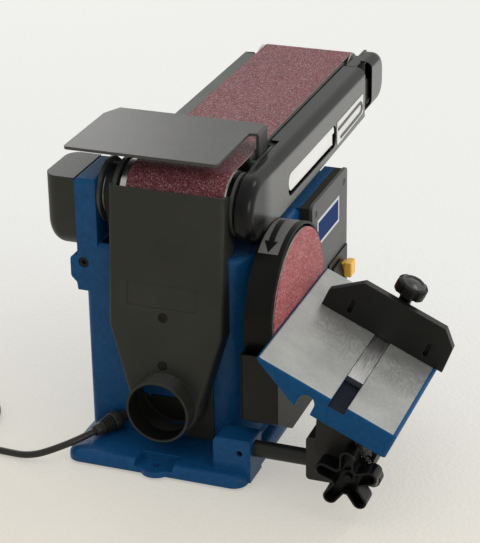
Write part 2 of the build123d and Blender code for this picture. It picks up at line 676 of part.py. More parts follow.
# Switch: body with a bezel, rocking paddle and pull-out safety key
paddle_y = (switch_at[0] - 22.0, switch_at[0] + 4.0)
key_y = (switch_at[0] + 10.0, switch_at[0] + 22.0)
paddle_pin = (panel_x - 2.0, switch_at[1] + 11.0)
with BuildPart() as switch_body:
    block(
        (panel_x - 13.0, panel_x),
        (switch_at[0] - 27.5, switch_at[0] + 27.5),
        (switch_at[1] - 17.5, switch_at[1] + 17.5),
    )
    block(
        (panel_x, panel_x + 2.0),
        (switch_at[0] - 31.0, switch_at[0] + 31.0),
        (switch_at[1] - 21.0, switch_at[1] + 21.0),
    )
    block(
        (panel_x - 9.0, panel_x + 3),
        (paddle_y[0] - AIR, paddle_y[1] + AIR),
        (switch_at[1] - 15.0, switch_at[1] + 15.0),
        Mode.SUBTRACT,
    )
    block(
        (panel_x - 10.0, panel_x + 3),
        (key_y[0] - 0.3, key_y[1] + 0.3),
        (switch_at[1] - 6.3, switch_at[1] + 6.3),
        Mode.SUBTRACT,
    )
    rod_y(paddle_pin[0], (paddle_y[0] - 3.0, paddle_y[1] + 3.0), paddle_pin[1], 1.5 + FIT, Mode.SUBTRACT)
switch_body.part.label = "switch_body"
export_step(switch_body.part, "parts/switch_body.step")

with BuildPart() as switch_paddle:
    with BuildSketch(Plane.XZ.offset(-paddle_y[0])):
        with Locations(paddle_pin):
            Circle(3.4)
        with BuildLine():
            Polyline(
                (paddle_pin[0] - 1.0, paddle_pin[1] + 3.0),
                (panel_x + 4.0, paddle_pin[1] + 2.0),
                (panel_x + 9.0, switch_at[1] - 13.5),
                (panel_x + 6.0, switch_at[1] - 14.3),
                (panel_x - 1.0, switch_at[1] - 14.3),
                close=True,
            )
        make_face()
    extrude(amount=-(paddle_y[1] - paddle_y[0]))
    rod_y(paddle_pin[0], (paddle_y[0] - 2.5, paddle_y[1] + 2.5), paddle_pin[1], 1.5)
switch_paddle.part.label = "switch_paddle"
export_step(switch_paddle.part, "parts/switch_paddle.step")

with BuildPart() as safety_key:
    block((panel_x - 9.5, panel_x + 6.0), key_y, (switch_at[1] - 6.0, switch_at[1] + 6.0))
    block(
        (panel_x + 6.0, panel_x + 14.0),
        (key_y[0] - 1.5, key_y[1] + 1.5),
        (switch_at[1] - 8.0, switch_at[1] + 8.0),
    )
    fillet(safety_key.faces().sort_by(Axis.X)[-1].edges(), 2.0)
safety_key.part.label = "safety_key"
export_step(safety_key.part, "parts/safety_key.step")

# Arm frame: platen, side walls, tilt hub in the upright, seats for the drum's bearings, guide for the fork
platen_y = (AXIS_Y + 40.0, idler_y - 30.0)
guide_y = (idler_y - 96.0, idler_y - 82.0)
fork_front = idler_y - 42.0
lever_pin = (cover_x[1] - 5.9, idler_y - 150.0)
lever_z = (axis_z - 18.0, axis_z + 1.0)
boss_r_x = (wall_r[0], wall_r[1] + BEARING_W + 2.0)
stop_bolt_at = (AXIS_Y + 68.0, BELT_TOP - 11.4)
knob_at = (idler_y - 22.0, idler_z - 12.0)
with BuildPart() as arm_frame:
    block((wall_l[0], belt_x[1] + 2.0), platen_y, (platen_top - PLATEN_T, platen_top))
    block((belt_x[1], wall_r[1]), platen_y, (platen_top - 9.0, platen_top - 4.0))
    with BuildSketch(Plane.YZ.offset(wall_l[0])):
        with Locations((AXIS_Y, axis_z)):
            Circle(frame_r - 2.0)
        with BuildLine():
            Polyline(
                (AXIS_Y, axis_z + 20.0),
                (AXIS_Y + 40.0, platen_top),
                (idler_y - 26.0, platen_top),
                (idler_y - 8.0, platen_top - 6.0),
                (idler_y + 2.0, platen_top - 18.0),
                (idler_y - 2.0, idler_z - 15.0),
                (AXIS_Y + 40.0, axis_z - 16.0),
                (AXIS_Y, axis_z - 20.0),
                close=True,
            )
        make_face()
    extrude(amount=wall_l[1] - wall_l[0])
    with BuildSketch(Plane.YZ.offset(wall_r[0])):
        with Locations((AXIS_Y, axis_z)):
            Circle(frame_r - 4.0)
        with BuildLine():
            Polyline(
                (AXIS_Y, axis_z + 20.0),
                (AXIS_Y + 40.0, platen_top - 4.0),
                (idler_y + 32.0, platen_top - 4.0),
                (idler_y + 32.0, idler_z - 32.0),
                (split_y - 10.0, idler_z - 32.0),
                (split_y - 28.0, idler_z - 16.0),
                (AXIS_Y + 40.0, axis_z - 16.0),
                (AXIS_Y, axis_z - 20.0),
                close=True,
            )
        make_face()
    extrude(amount=wall_r[1] - wall_r[0])
    block((wall_l[1], wall_r[0]), guide_y, (idler_z - 11.0, platen_top - PLATEN_T))
    block(
        (hub_x[0], wall_l[1]),
        (AXIS_Y + DRUM_PULLEY_R + 6.0, AXIS_Y + DRUM_PULLEY_R + 18.0),
        (axis_z - 14.0, axis_z + 14.0),
    )
    with BuildSketch(Plane.YZ.offset(hub_x[0])):
        with Locations((AXIS_Y, axis_z)):
            Circle(frame_r - 3.0)
        with Locations((AXIS_Y + (DRUM_PULLEY_R + 18.0) / 2, axis_z)):
            Rectangle(DRUM_PULLEY_R + 18.0, 28.0)
    extrude(amount=hub_x[1] - hub_x[0])
    rod_x((band_x[0] + 1.0, hub_x[0]), AXIS_Y, axis_z, hub_r)
    rod_x(boss_r_x, AXIS_Y, axis_z, BEARING_R + 4.0)
    block(wall_r, (lever_pin[1] - 9.0, lever_pin[1] + 9.0), (lever_z[0] - 3.7, axis_z))
    for low, high in ((lever_z[0] - 3.7, lever_z[0] - 0.5), (lever_z[1] + 0.5, lever_z[1] + 3.7)):
        block((wall_r[1], cover_x[1] - SKIN - 0.4), (lever_pin[1] - 5.0, lever_pin[1] + 5.0), (low, high))
    rod_x((band_x[0], hub_x[1] + 1), AXIS_Y, axis_z, SHAFT_R + 2.0, Mode.SUBTRACT)
    rod_x((band_x[0], band_x[0] + 1.0 + BEARING_W), AXIS_Y, axis_z, BEARING_R + PRESS, Mode.SUBTRACT)
    rod_x((wall_l[0] - 1, wall_l[1] + 1), AXIS_Y, axis_z, DRUM_CORE_R + 2.0, Mode.SUBTRACT)
    rod_x((wall_r[0] - 1, boss_r_x[1] + 1), AXIS_Y, axis_z, SHAFT_R + 2.0, Mode.SUBTRACT)
    rod_x((wall_r[1] + 2.0, boss_r_x[1] + 1), AXIS_Y, axis_z, BEARING_R + PRESS, Mode.SUBTRACT)
    rod_y(BELT_X, (guide_y[0] - 1, guide_y[1] + 1), idler_z, 6.0 + FIT, Mode.SUBTRACT)
    rod_z(lever_pin[0], lever_pin[1], (lever_z[0] - 5, lever_z[1] + 5), 3.0 + PRESS, Mode.SUBTRACT)
    block(
        (belt_x[1] + 1.6, wall_r[0]),
        (stop_bolt_at[0] - 22.0, stop_bolt_at[0] + 22.0),
        (platen_top - 12.0, platen_top + 1),
        Mode.SUBTRACT,
    )
    rod_x((wall_r[0] - 1, wall_r[1] + 1), stop_bolt_at[0], stop_bolt_at[1], 3.0 + FIT, Mode.SUBTRACT)
    block(
        (wall_r[0] - 1, wall_r[1] + 1),
        (fork_front + 4.0 - TENSION_TRAVEL - 3.6, fork_front + 4.0 + 3.6),
        (idler_z - 3.6, idler_z + 3.6),
        Mode.SUBTRACT,
    )
    rod_x((wall_r[0] - 1, wall_r[1] + 1), knob_at[0], knob_at[1], 3.0 + FIT, Mode.SUBTRACT)
arm_frame.part.label = "arm_frame"
export_step(arm_frame.part, "parts/arm_frame.step")

# Bearings of the drum shaft
with BuildPart() as drum_bearings:
    rod_x((band_x[0] + 1.0, band_x[0] + 1.0 + BEARING_W), AXIS_Y, axis_z, BEARING_R)
    rod_x((wall_r[1] + 2.0, wall_r[1] + 2.0 + BEARING_W), AXIS_Y, axis_z, BEARING_R)
    rod_x((band_x[0], cover_x[1]), AXIS_Y, axis_z, SHAFT_R + FIT, Mode.SUBTRACT)
drum_bearings.part.label = "drum_bearings"
export_step(drum_bearings.part, "parts/drum_bearings.step")

# Driven drum and its shaft
with BuildPart() as drive_drum:
    rod_x(drum_x, AXIS_Y, axis_z, drum_r)
    rod_x((drum_x[0] - 1, drum_x[0] + 12.0), AXIS_Y, axis_z, drum_r - 5.0, Mode.SUBTRACT)
    rod_x((drum_x[1] - 12.0, drum_x[1] + 1), AXIS_Y, axis_z, drum_r - 5.0, Mode.SUBTRACT)
    rod_x((drum_x[0] + 2.0, drum_x[1] - 2.0), AXIS_Y, axis_z, DRUM_CORE_R + 5.0)
    rod_x((drum_x[0] - 1, drum_x[1] + 1), AXIS_Y, axis_z, DRUM_CORE_R + PRESS, Mode.SUBTRACT)
drive_drum.part.label = "drive_drum"
export_step(drive_drum.part, "parts/drive_drum.step")

with BuildPart() as drum_shaft:
    rod_x((band_x[0] - 4.0, wall_r[1] + 2.0 + BEARING_W + 1.0), AXIS_Y, axis_z, SHAFT_R)
    rod_x((hub_x[1] + 0.3, drum_x[1] + 2.0), AXIS_Y, axis_z, DRUM_CORE_R)
drum_shaft.part.label = "drum_shaft"
export_step(drum_shaft.part, "parts/drum_shaft.step")

# Idler drum on the axle of a sliding fork
idler_x = (drum_x[0] + 1.5, drum_x[1])
fork_l = (wall_l[1] + 0.7, wall_l[1] + 4.2)
fork_r = (wall_r[0] - 3.7, wall_r[0] - 0.7)
with BuildPart() as idler_drum:
    rod_x(idler_x, idler_y, idler_z, idler_r)
    rod_x((idler_x[0] - 1, idler_x[0] + 12.0), idler_y, idler_z, idler_r - 5.0, Mode.SUBTRACT)
    rod_x((idler_x[1] - 12.0, idler_x[1] + 1), idler_y, idler_z, idler_r - 5.0, Mode.SUBTRACT)
    rod_x((idler_x[0], idler_x[1]), idler_y, idler_z, SHAFT_R + 5.0)
    rod_x((idler_x[0] - 1, idler_x[1] + 1), idler_y, idler_z, SHAFT_R + FIT, Mode.SUBTRACT)
idler_drum.part.label = "idler_drum"
export_step(idler_drum.part, "parts/idler_drum.step")

with BuildPart() as idler_axle:
    rod_x((fork_l[0], fork_r[1]), idler_y, idler_z, SHAFT_R)
idler_axle.part.label = "idler_axle"
export_step(idler_axle.part, "parts/idler_axle.step")

with BuildPart() as idler_fork:
    block(fork_l, (fork_front, idler_y + 9.0), (idler_z - 9.0, idler_z + 9.0))
    block(fork_r, (fork_front, idler_y + 9.0), (idler_z - 9.0, idler_z + 9.0))
    block((fork_l[0], fork_r[1]), (fork_front, fork_front + 7.0), (idler_z - 9.0, idler_z + 9.0))
    rod_y(BELT_X, (guide_y[0] - 18.0, fork_front), idler_z, 6.0)
    rod_x((fork_l[0] - 1, fork_r[1] + 1), idler_y, idler_z, SHAFT_R + PRESS, Mode.SUBTRACT)
idler_fork.part.label = "idler_fork"
export_step(idler_fork.part, "parts/idler_fork.step")

# Link from the fork to the tension lever
with BuildPart() as tension_link:
    block(
        (wall_r[1] + 0.6, wall_r[1] + 3.0),
        (lever_pin[1] + 18.0, fork_front + 9.0),
        (idler_z - 4.0, idler_z + 4.0),
    )
    rod_x((fork_r[1], wall_r[1] + 1.0), fork_front + 4.0, idler_z, 3.0)
tension_link.part.label = "tension_link"
export_step(tension_link.part, "parts/tension_link.step")

# Tension spring on the fork's rod, as turns of wire
spring_turns = 6
spring_y = (guide_y[1], fork_front)
spring_pitch = (spring_y[1] - spring_y[0] - 2.2) / spring_turns
with BuildPart() as tension_spring:
    with BuildLine() as wire:
        Helix(
            spring_pitch,
            spring_pitch * spring_turns,
            8.5,
            center=(BELT_X, spring_y[0] + 1.1, idler_z),
            direction=(0, 1, 0),
        )
    with BuildSketch(Plane(origin=wire.line @ 0, z_dir=wire.line % 0)):
        Circle(1.0)
    sweep()
tension_spring.part.label = "tension_spring"
export_step(tension_spring.part, "parts/tension_spring.step")

# Sanding belt round both drums
with BuildPart() as sanding_belt:
    with BuildSketch(Plane.YZ.offset(belt_x[0])):
        tangent_loop(
            (AXIS_Y, axis_z), drum_r + FIT + BELT_T, (idler_y, idler_z), idler_r + FIT + BELT_T
        )
        tangent_loop((AXIS_Y, axis_z), drum_r + FIT, (idler_y, idler_z), idler_r + FIT, Mode.SUBTRACT)
    extrude(amount=BELT_W)
sanding_belt.part.label = "sanding_belt"
export_step(sanding_belt.part, "parts/sanding_belt.step")


def cover_outline(inset):
    # Round nose about the drum's end, then a long straight body
    with BuildLine() as rim:
        Polyline(
            (AXIS_Y, nose_z + nose_r - inset),
            (AXIS_Y + 45.0, arm_top - inset),
            (split_y - inset, arm_top - inset),
            (split_y - inset, arm_top - ARM_H + inset),
            (AXIS_Y + 40.0, arm_top - ARM_H - 6.0 + inset),
            (AXIS_Y + 8.0, nose_z - nose_r + inset),
            (AXIS_Y, nose_z - nose_r + inset),
            close=True,
        )
    make_face(rim.edges())
    with Locations((AXIS_Y, nose_z)):
        Circle(nose_r - inset)


# Long right cover of the arm with its round nose
window_y = (lever_pin[1] - 146.0, lever_pin[1] + 8.0)
with BuildPart() as cover_hollow:
    with BuildSketch(Plane.YZ.offset(cover_x[0] - 1)):
        cover_outline(SKIN)
    extrude(amount=cover_x[1] - cover_x[0] + 1 - SKIN)
    hollow_rim = cover_hollow.faces().sort_by(Axis.X)[-1].edges()
    fillet(hollow_rim.filter_by_position(Axis.Z, arm_top - 8.0, arm_top), COVER_R - 6.0)

with BuildPart() as arm_cover:
    with BuildSketch(Plane.YZ.offset(cover_x[0])):
        cover_outline(0.0)
    extrude(amount=cover_x[1] - cover_x[0])
    cover_rim = arm_cover.faces().sort_by(Axis.X)[-1].edges()
    cover_low = cover_rim.filter_by_position(Axis.Y, AXIS_Y + 9.0, split_y - 1.0)
    cover_low = cover_low.filter_by_position(Axis.Z, 0, axis_z)
    fillet([edge for edge in cover_rim.sort_by(Axis.Y)[:-1] if edge not in cover_low], COVER_R)
    add(cover_hollow.part, mode=Mode.SUBTRACT)
    block(
        (wall_r[1] - 5.0, cover_x[0]),
        (AXIS_Y + 95.0, split_y),
        (arm_top - SKIN, arm_top),
    )
    with BuildSketch(Plane.YZ.offset(cover_x[1] - SKIN - 2)):
        with Locations(((window_y[0] + window_y[1]) / 2, (lever_z[0] + lever_z[1]) / 2)):
            RectangleRounded(window_y[1] - window_y[0], lever_z[1] - lever_z[0] + 5.0, 9.0)
    extrude(amount=SKIN + 3, mode=Mode.SUBTRACT)
arm_cover.part.label = "arm_cover"
export_step(arm_cover.part, "parts/arm_cover.step")

# Rear end cap with the open corner for the tracking knob
with BuildPart() as cap_hollow:
    with BuildSketch(Plane.YZ.offset(cover_x[0] - 1)):
        with BuildLine():
            FilletPolyline(
                (split_y - 20.0, arm_top - SKIN),
                (arm_rear - SKIN, arm_top - SKIN),
                (arm_rear - SKIN, arm_top - ARM_H + SKIN),
                (split_y - 20.0, arm_top - ARM_H + SKIN),
                radius=[0.5, 20.0, 20.0, 0.5],
                close=True,
            )
        make_face()
    extrude(amount=cover_x[1] - cover_x[0] + 1 - SKIN)
    hollow_rim = cap_hollow.faces().sort_by(Axis.X)[-1].edges()
    fillet(hollow_rim.sort_by(Axis.Y)[1:], COVER_R - 6.0)

with BuildPart() as arm_end_cap:
    with BuildSketch(Plane.YZ.offset(cover_x[0])):
        with BuildLine():
            FilletPolyline(
                (split_y + 1.2, arm_top),
                (arm_rear, arm_top),
                (arm_rear, arm_top - ARM_H),
                (split_y + 1.2, arm_top - ARM_H),
                radius=[0.5, 22.0, 22.0, 0.5],
                close=True,
            )
        make_face()
    extrude(amount=cover_x[1] - cover_x[0])
    fillet(arm_end_cap.faces().sort_by(Axis.X)[-1].edges().sort_by(Axis.Y)[1:], COVER_R)
    add(cap_hollow.part, mode=Mode.SUBTRACT)
    block((wall_r[1] - 3.0, cover_x[0]), (split_y + 1.2, idler_y), (arm_top - SKIN, arm_top))
    with BuildSketch(Plane.YZ.offset(cover_x[0] + 3.6)):
        with BuildLine():
            FilletPolyline(
                (split_y, arm_top + 1.0),
                (split_y + 26.0, arm_top + 1.0),
                (split_y + 26.0, arm_top - ARM_H + 6.0),
                (split_y, arm_top - ARM_H + 6.0),
                radius=[0.5, 9.0, 7.0, 0.5],
                close=True,
            )
        make_face()
    extrude(amount=cover_x[1] - cover_x[0], mode=Mode.SUBTRACT)
arm_end_cap.part.label = "arm_end_cap"
export_step(arm_end_cap.part, "parts/arm_end_cap.step")

# Tracking knob in the end cap
with BuildPart() as tracking_knob:
    with BuildSketch(Plane.YZ.offset(wall_r[1] + 5.0)):
        with Locations(knob_at):
            Circle(14.0)
            with PolarLocations(15.0, 18):
                Circle(1.8, mode=Mode.SUBTRACT)
    extrude(amount=cover_x[1] - SKIN - 1.0 - wall_r[1] - 5.0)
    rod_x((wall_r[0], wall_r[1] + 5.0), knob_at[0], knob_at[1], 3.0)
tracking_knob.part.label = "tracking_knob"
export_step(tracking_knob.part, "parts/tracking_knob.step")

# Tension lever on an upright pin
with BuildPart() as tension_lever:
    with BuildSketch(Plane.XY.offset(lever_z[0])):
        with Locations(lever_pin):
            Circle(4.0)
        with Locations((lever_pin[0], lever_pin[1] - 69.0)):
            Rectangle(7.0, 138.0)
    extrude(amount=lever_z[1] - lever_z[0])
    round_end = tension_lever.edges().filter_by(Axis.X).group_by(Axis.Y)[0]
    fillet(round_end, 8.0)
    rod_z(lever_pin[0], lever_pin[1], (lever_z[0] - 1, lever_z[1] + 1), 3.0 + FIT, Mode.SUBTRACT)
tension_lever.part.label = "tension_lever"
export_step(tension_lever.part, "parts/tension_lever.step")

with BuildPart() as lever_pivot:
    rod_z(lever_pin[0], lever_pin[1], (lever_z[0] - 3.7, lever_z[1] + 3.7), 3.0)
lever_pivot.part.label = "lever_pivot"
export_step(lever_pivot.part, "parts/lever_pivot.step")

# Work stop: a bent plate over the front of the belt, on a bolt in the right wall
stop_x = (BELT_X - 111.2, BELT_X + 46.1)
stop_y = (AXIS_Y - 34.2, AXIS_Y + 82.9)
stop_z = (BELT_TOP + 16.1, BELT_TOP + 19.1)
with BuildPart() as work_stop:
    with BuildSketch(Plane.XY.offset(stop_z[0])):
        with BuildLine():
            Polyline(
                (stop_x[0], stop_y[0]),
                (stop_x[1], stop_y[0]),
                (stop_x[1], stop_bolt_at[0] - 15.0),
                (tab_x[1], stop_bolt_at[0] - 12.0),
                (tab_x[1], stop_bolt_at[0] + 12.0),
                (stop_x[1], stop_y[1]),
                (stop_x[0] + 9.0, stop_y[1]),
                (stop_x[0], stop_y[1] - 20.0),
                close=True,
            )
        make_face()
    extrude(amount=stop_z[1] - stop_z[0])
    stop_corners = work_stop.edges().filter_by(Axis.Z)
    fillet(stop_corners.filter_by_position(Axis.Y, stop_y[0] - 0.1, stop_y[0] + 0.1), 4.0)
    block(tab_x, (stop_bolt_at[0] - 12.0, stop_bolt_at[0] + 12.0), (stop_bolt_at[1] - 8.0, stop_z[1]))
    stop_bend = work_stop.edges().filter_by(Axis.Y).filter_by_position(Axis.X, tab_x[1] - 0.1, tab_x[1] + 0.1)
    fillet(stop_bend.filter_by_position(Axis.Z, stop_z[1] - 0.1, stop_z[1] + 0.1), 2.8)
    rod_x((tab_x[0] - 1, tab_x[1] + 1), stop_bolt_at[0], stop_bolt_at[1], 3.0 + FIT, Mode.SUBTRACT)
work_stop.part.label = "work_stop"
export_step(work_stop.part, "parts/work_stop.step")

with BuildPart() as stop_bolt:
    rod_x((tab_x[0] - 0.4, wall_r[1] + 0.5), stop_bolt_at[0], stop_bolt_at[1], 3.0)
    rod_x((wall_r[1] + 0.3, wall_r[1] + 3.2), stop_bolt_at[0], stop_bolt_at[1], 5.0)
stop_bolt.part.label = "stop_bolt"
export_step(stop_bolt.part, "parts/stop_bolt.step")

# Rod of the disc table, its set screw and the bracket on its end
rod_end = pivot_x - 20.0
with BuildPart() as table_rod:
    rod_x((boss_x[0] + 2.0, rod_end), ROD_Y, ROD_Z, ROD_R)
table_rod.part.label = "table_rod"
export_step(table_rod.part, "parts/table_rod.step")

with BuildPart() as rod_set_screw:
    rod_y(boss_x[1] - 11.0, (boss_y[0] + 3.0, ROD_Y - ROD_R - 0.3), ROD_Z, 3.0)
    with BuildSketch(Plane.XZ.offset(-boss_y[0] - 3.0)):
        with Locations((boss_x[1] - 11.0, ROD_Z)):
            RegularPolygon(1.7, 6)
    extrude(amount=-2.0, mode=Mode.SUBTRACT)
rod_set_screw.part.label = "rod_set_screw"
export_step(rod_set_screw.part, "parts/rod_set_screw.step")

with BuildPart() as rod_bracket:
    with BuildSketch(Plane.XZ.offset(-bracket_y[1])):
        tangent_loop((pivot_x - 30.0, ROD_Z + 3.0), 18.0, (pivot_x, PIVOT_Z), 16.0)
        with Locations((pivot_x - 34.0, ROD_Z + 8.0)):
            RectangleRounded(34.0, 46.0, 4.0)
    extrude(amount=bracket_y[1] - bracket_y[0])
    rod_x((0, rod_end), ROD_Y, ROD_Z, ROD_R + PRESS, Mode.SUBTRACT)
    rod_y(pivot_x, (bracket_y[0] - 1, bracket_y[1] + 1), PIVOT_Z, 4.0 + FIT, Mode.SUBTRACT)
rod_bracket.part.label = "rod_bracket"
export_step(rod_bracket.part, "parts/rod_bracket.step")



def table_side(y):
    # Plane across the table: X down the slope, Y out of the table
    return Plane(
        origin=(table_x, y, table_z), x_dir=(cos(tilt_a), 0, -sin(tilt_a)), z_dir=(0, -1, 0)
    )


# Table: machined top, slot along the machine, skirt cut back towards the disc
slot_u = (SLOT_AT - SLOT_W / 2, SLOT_AT + SLOT_W / 2)
rib_u = (SLOT_AT - 13.0, SLOT_AT + 13.0)
rib_n = -TABLE_T - 5.0
notch_u = 60.0
with BuildPart(table_top_plane) as table_top:
    block((0, TABLE_L), table_y, (-SKIRT_H, 0))
    fillet(table_top.edges().filter_by(Axis((0, 0, 0), table_top_plane.z_dir)), 4.0)
    outer_rim = table_top.faces().sort_by(Axis((0, 0, 0), table_top_plane.x_dir))[-1].edges()
    fillet(outer_rim.sort_by(Axis((0, 0, 0), table_top_plane.z_dir))[-1], 3.0)
    block(
        (4.0, TABLE_L - 4.0),
        (table_y[0] + 4.0, table_y[1] - 4.0),
        (-SKIRT_H - 1, -TABLE_T),
        Mode.SUBTRACT,
    )
    block(rib_u, (table_y[0] + 1.0, table_y[1] - 1.0), (rib_n, -4.0))
    block(slot_u, (table_y[0] - 1, table_y[1] + 1), (-TABLE_T + 0.5, 1), Mode.SUBTRACT)
    with BuildSketch(table_side(table_y[1] + 1)):
        with BuildLine():
            Polyline(
                (-1.0, -2.0),
                (0.0, -2.0),
                (notch_u - 9.0, -SKIRT_H),
                (notch_u - 9.0, -SKIRT_H - 1),
                (-1.0, -SKIRT_H - 1),
                close=True,
            )
        make_face()
    extrude(amount=TABLE_W + 2, mode=Mode.SUBTRACT)
    with BuildSketch(table_side(table_y[0] + 5.0)):
        with Locations((notch_u, -TABLE_T - 8.5)):
            Circle(8.0)
        with Locations((notch_u, -TABLE_T - 8.5 - SKIRT_H / 2)):
            Rectangle(16.0, SKIRT_H)
    extrude(amount=7.0, mode=Mode.SUBTRACT)
table_top.part.label = "table_top"
export_step(table_top.part, "parts/table_top.step")

# Trunnion under the table, turning on the tilt bolt
pivot_u = (pivot_x - table_x) * cos(tilt_a) - (PIVOT_Z - table_z) * sin(tilt_a)
pivot_n = (pivot_x - table_x) * sin(tilt_a) + (PIVOT_Z - table_z) * cos(tilt_a)
ear_u = (62.5, TABLE_L - 9.0)
pointer_at = (pivot_x + 18.0, PIVOT_Z - 9.5)
pointer_un = (
    (pointer_at[0] - table_x) * cos(tilt_a) - (pointer_at[1] - table_z) * sin(tilt_a),
    (pointer_at[0] - table_x) * sin(tilt_a) + (pointer_at[1] - table_z) * cos(tilt_a),
)
with BuildPart(table_top_plane) as table_trunnion:
    with BuildSketch(table_side(ear_y[1])):
        with BuildLine():
            Polyline(
                (ear_u[0], -TABLE_T),
                (ear_u[1], -TABLE_T),
                (pivot_u + 14.0, pivot_n + 4.0),
                (pivot_u - 2.0, pivot_n - 14.0),
                (ear_u[0] + 25.5, pivot_n - 8.0),
                close=True,
            )
        make_face()
        tangent_loop((pivot_u, pivot_n), 15.0, pointer_un, 8.0)
    extrude(amount=ear_y[1] - ear_y[0])
    block(ear_u, (ear_y[1] - 1.0, ear_y[1] + 16.0), (-TABLE_T - 5.0, -TABLE_T))
    block(rib_u, (ear_y[0] - 1, ear_y[1] + 17), (rib_n, 0), Mode.SUBTRACT)
    with BuildSketch(table_side(ear_y[1] + 1)):
        with Locations((pivot_u, pivot_n)):
            Circle(4.0 + FIT)
        with Locations(pointer_un):
            Circle(2.0 + PRESS)
    extrude(amount=ear_y[1] - ear_y[0] + 2, mode=Mode.SUBTRACT)
table_trunnion.part.label = "table_trunnion"
export_step(table_trunnion.part, "parts/table_trunnion.step")

# Drop-shaped pointer, its screw, and a small scale plate
with BuildPart() as angle_pointer:
    with BuildSketch(Plane.XZ.offset(-ear_y[0])):
        tangent_loop(pointer_at, 6.5, (pointer_at[0] - 4.0, pointer_at[1] + 16.0), 1.2)
        with Locations(pointer_at):
            Circle(2.2, mode=Mode.SUBTRACT)
    extrude(amount=1.5)
angle_pointer.part.label = "angle_pointer"
export_step(angle_pointer.part, "parts/angle_pointer.step")

with BuildPart() as pointer_screw:
    rod_y(pointer_at[0], (ear_y[0] - 4.0, ear_y[0] - 1.5), pointer_at[1], 4.2)
    rod_y(pointer_at[0], (ear_y[0] - 1.5, ear_y[0] + 6.0), pointer_at[1], 2.0)
pointer_screw.part.label = "pointer_screw"
export_step(pointer_screw.part, "parts/pointer_screw.step")

with BuildPart() as scale_plate:
    block((pivot_x + 2.0, pivot_x + 17.0), (ear_y[0] - 1.0, ear_y[0]), (PIVOT_Z + 16.0, PIVOT_Z + 30.0))
scale_plate.part.label = "scale_plate"
export_step(scale_plate.part, "parts/scale_plate.step")

# Star knob with its bolt
star_y = (ear_y[0] - 27.0, ear_y[0] - 8.0)
with BuildPart() as tilt_knob:
    with BuildSketch(Plane.XZ.offset(-star_y[1])):
        with Locations((pivot_x, PIVOT_Z)):
            Circle(14.0)
            with PolarLocations(14.0, 5, start_angle=16):
                SlotCenterToCenter(20.0, 14.0)
    extrude(amount=star_y[1] - star_y[0])
    fillet(tilt_knob.faces().sort_by(Axis.Y)[0].edges(), 2.0)
    rod_y(pivot_x, (star_y[0] - 1, star_y[0] + 9.0), PIVOT_Z, 10.0, Mode.SUBTRACT)
    rod_y(pivot_x, (star_y[1], ear_y[0] - 2.0), PIVOT_Z, 12.0)
    rod_y(pivot_x, (star_y[0] + 6.0, bracket_y[1] - 2.0), PIVOT_Z, 4.0)
tilt_knob.part.label = "tilt_knob"
export_step(tilt_knob.part, "parts/tilt_knob.step")

# Mitre gauge: bar with its pivot pin, head with the fence, clamping knob
mitre_at = (SLOT_AT, DISC_Y + 32.0)
fence_u = (18.6, 153.0)
fence_y = (DISC_Y + 10.0, DISC_Y + 18.0)
fence_h = 44.5
head_n = 0.6
with BuildPart(table_top_plane) as mitre_bar:
    block(
        (slot_u[0] + 0.35, slot_u[1] - 0.35),
        (mitre_at[1] - 110.0, mitre_at[1] + 24.0),
        (-TABLE_T + 1.0, -0.6),
    )
    rod_z(mitre_at[0], mitre_at[1], (-2.0, 11.0), 5.0)
mitre_bar.part.label = "mitre_bar"
export_step(mitre_bar.part, "parts/mitre_bar.step")

with BuildPart(table_top_plane) as mitre_head:
    with BuildSketch(table_side(fence_y[1])):
        with BuildLine():
            Polyline(
                (fence_u[0], head_n),
                (fence_u[1], head_n),
                (fence_u[1] - 2.0, fence_h - 15.0),
                (fence_u[1] - 17.0, fence_h),
                (fence_u[0] + 28.0, fence_h),
                (fence_u[0], fence_h - 26.0),
                close=True,
            )
        make_face()
    extrude(amount=fence_y[1] - fence_y[0])
    with BuildSketch(table_side(fence_y[0])):
        with Locations((fence_u[0] + 27.0, 14.5), (fence_u[1] - 23.0, 14.5)):
            SlotCenterToCenter(11.0, 5.0, rotation=90)
    extrude(amount=-5.5, mode=Mode.SUBTRACT)
    with BuildSketch(table_top_plane.offset(head_n)):
        with Locations((mitre_at[0], fence_y[1])):
            Circle(52.0)
        with Locations((mitre_at[0], fence_y[1] - 30.0), (mitre_at[0], fence_y[1] + 60.0)):
            Rectangle(120.0, 60.0, mode=Mode.SUBTRACT)
    extrude(amount=12.0)
    rod_z(mitre_at[0], mitre_at[1], (head_n, head_n + 21.0), 10.0)
    for side in (-1, 1):
        block(
            (mitre_at[0] + side * 26.0 - 3.0, mitre_at[0] + side * 26.0 + 3.0),
            (fence_y[1] - 1.0, fence_y[1] + 12.0),
            (head_n, head_n + 26.0),
        )
    rod_z(mitre_at[0], mitre_at[1], (-5, 11.5), 5.0 + FIT, Mode.SUBTRACT)
    rod_z(mitre_at[0], mitre_at[1], (5, head_n + 25.0), 3.5 + FIT, Mode.SUBTRACT)
mitre_head.part.label = "mitre_head"
export_step(mitre_head.part, "parts/mitre_head.step")

knob_n = head_n + 21.6
with BuildPart(table_top_plane) as mitre_knob:
    rod_z(mitre_at[0], mitre_at[1], (12.0, knob_n + 6.0), 3.5)
    rod_z(mitre_at[0], mitre_at[1], (knob_n, knob_n + 26.0), 6.5)
    with BuildSketch(table_top_plane.offset(knob_n + 26.0)):
        with Locations(mitre_at):
            Circle(16.0)
            with PolarLocations(19.5, 6):
                Circle(5.0, mode=Mode.SUBTRACT)
    extrude(amount=11.0)
    fillet(mitre_knob.faces().sort_by(Axis((0, 0, 0), table_top_plane.z_dir))[-1].edges(), 3.0)
mitre_knob.part.label = "mitre_knob"
export_step(mitre_knob.part, "parts/mitre_knob.step")

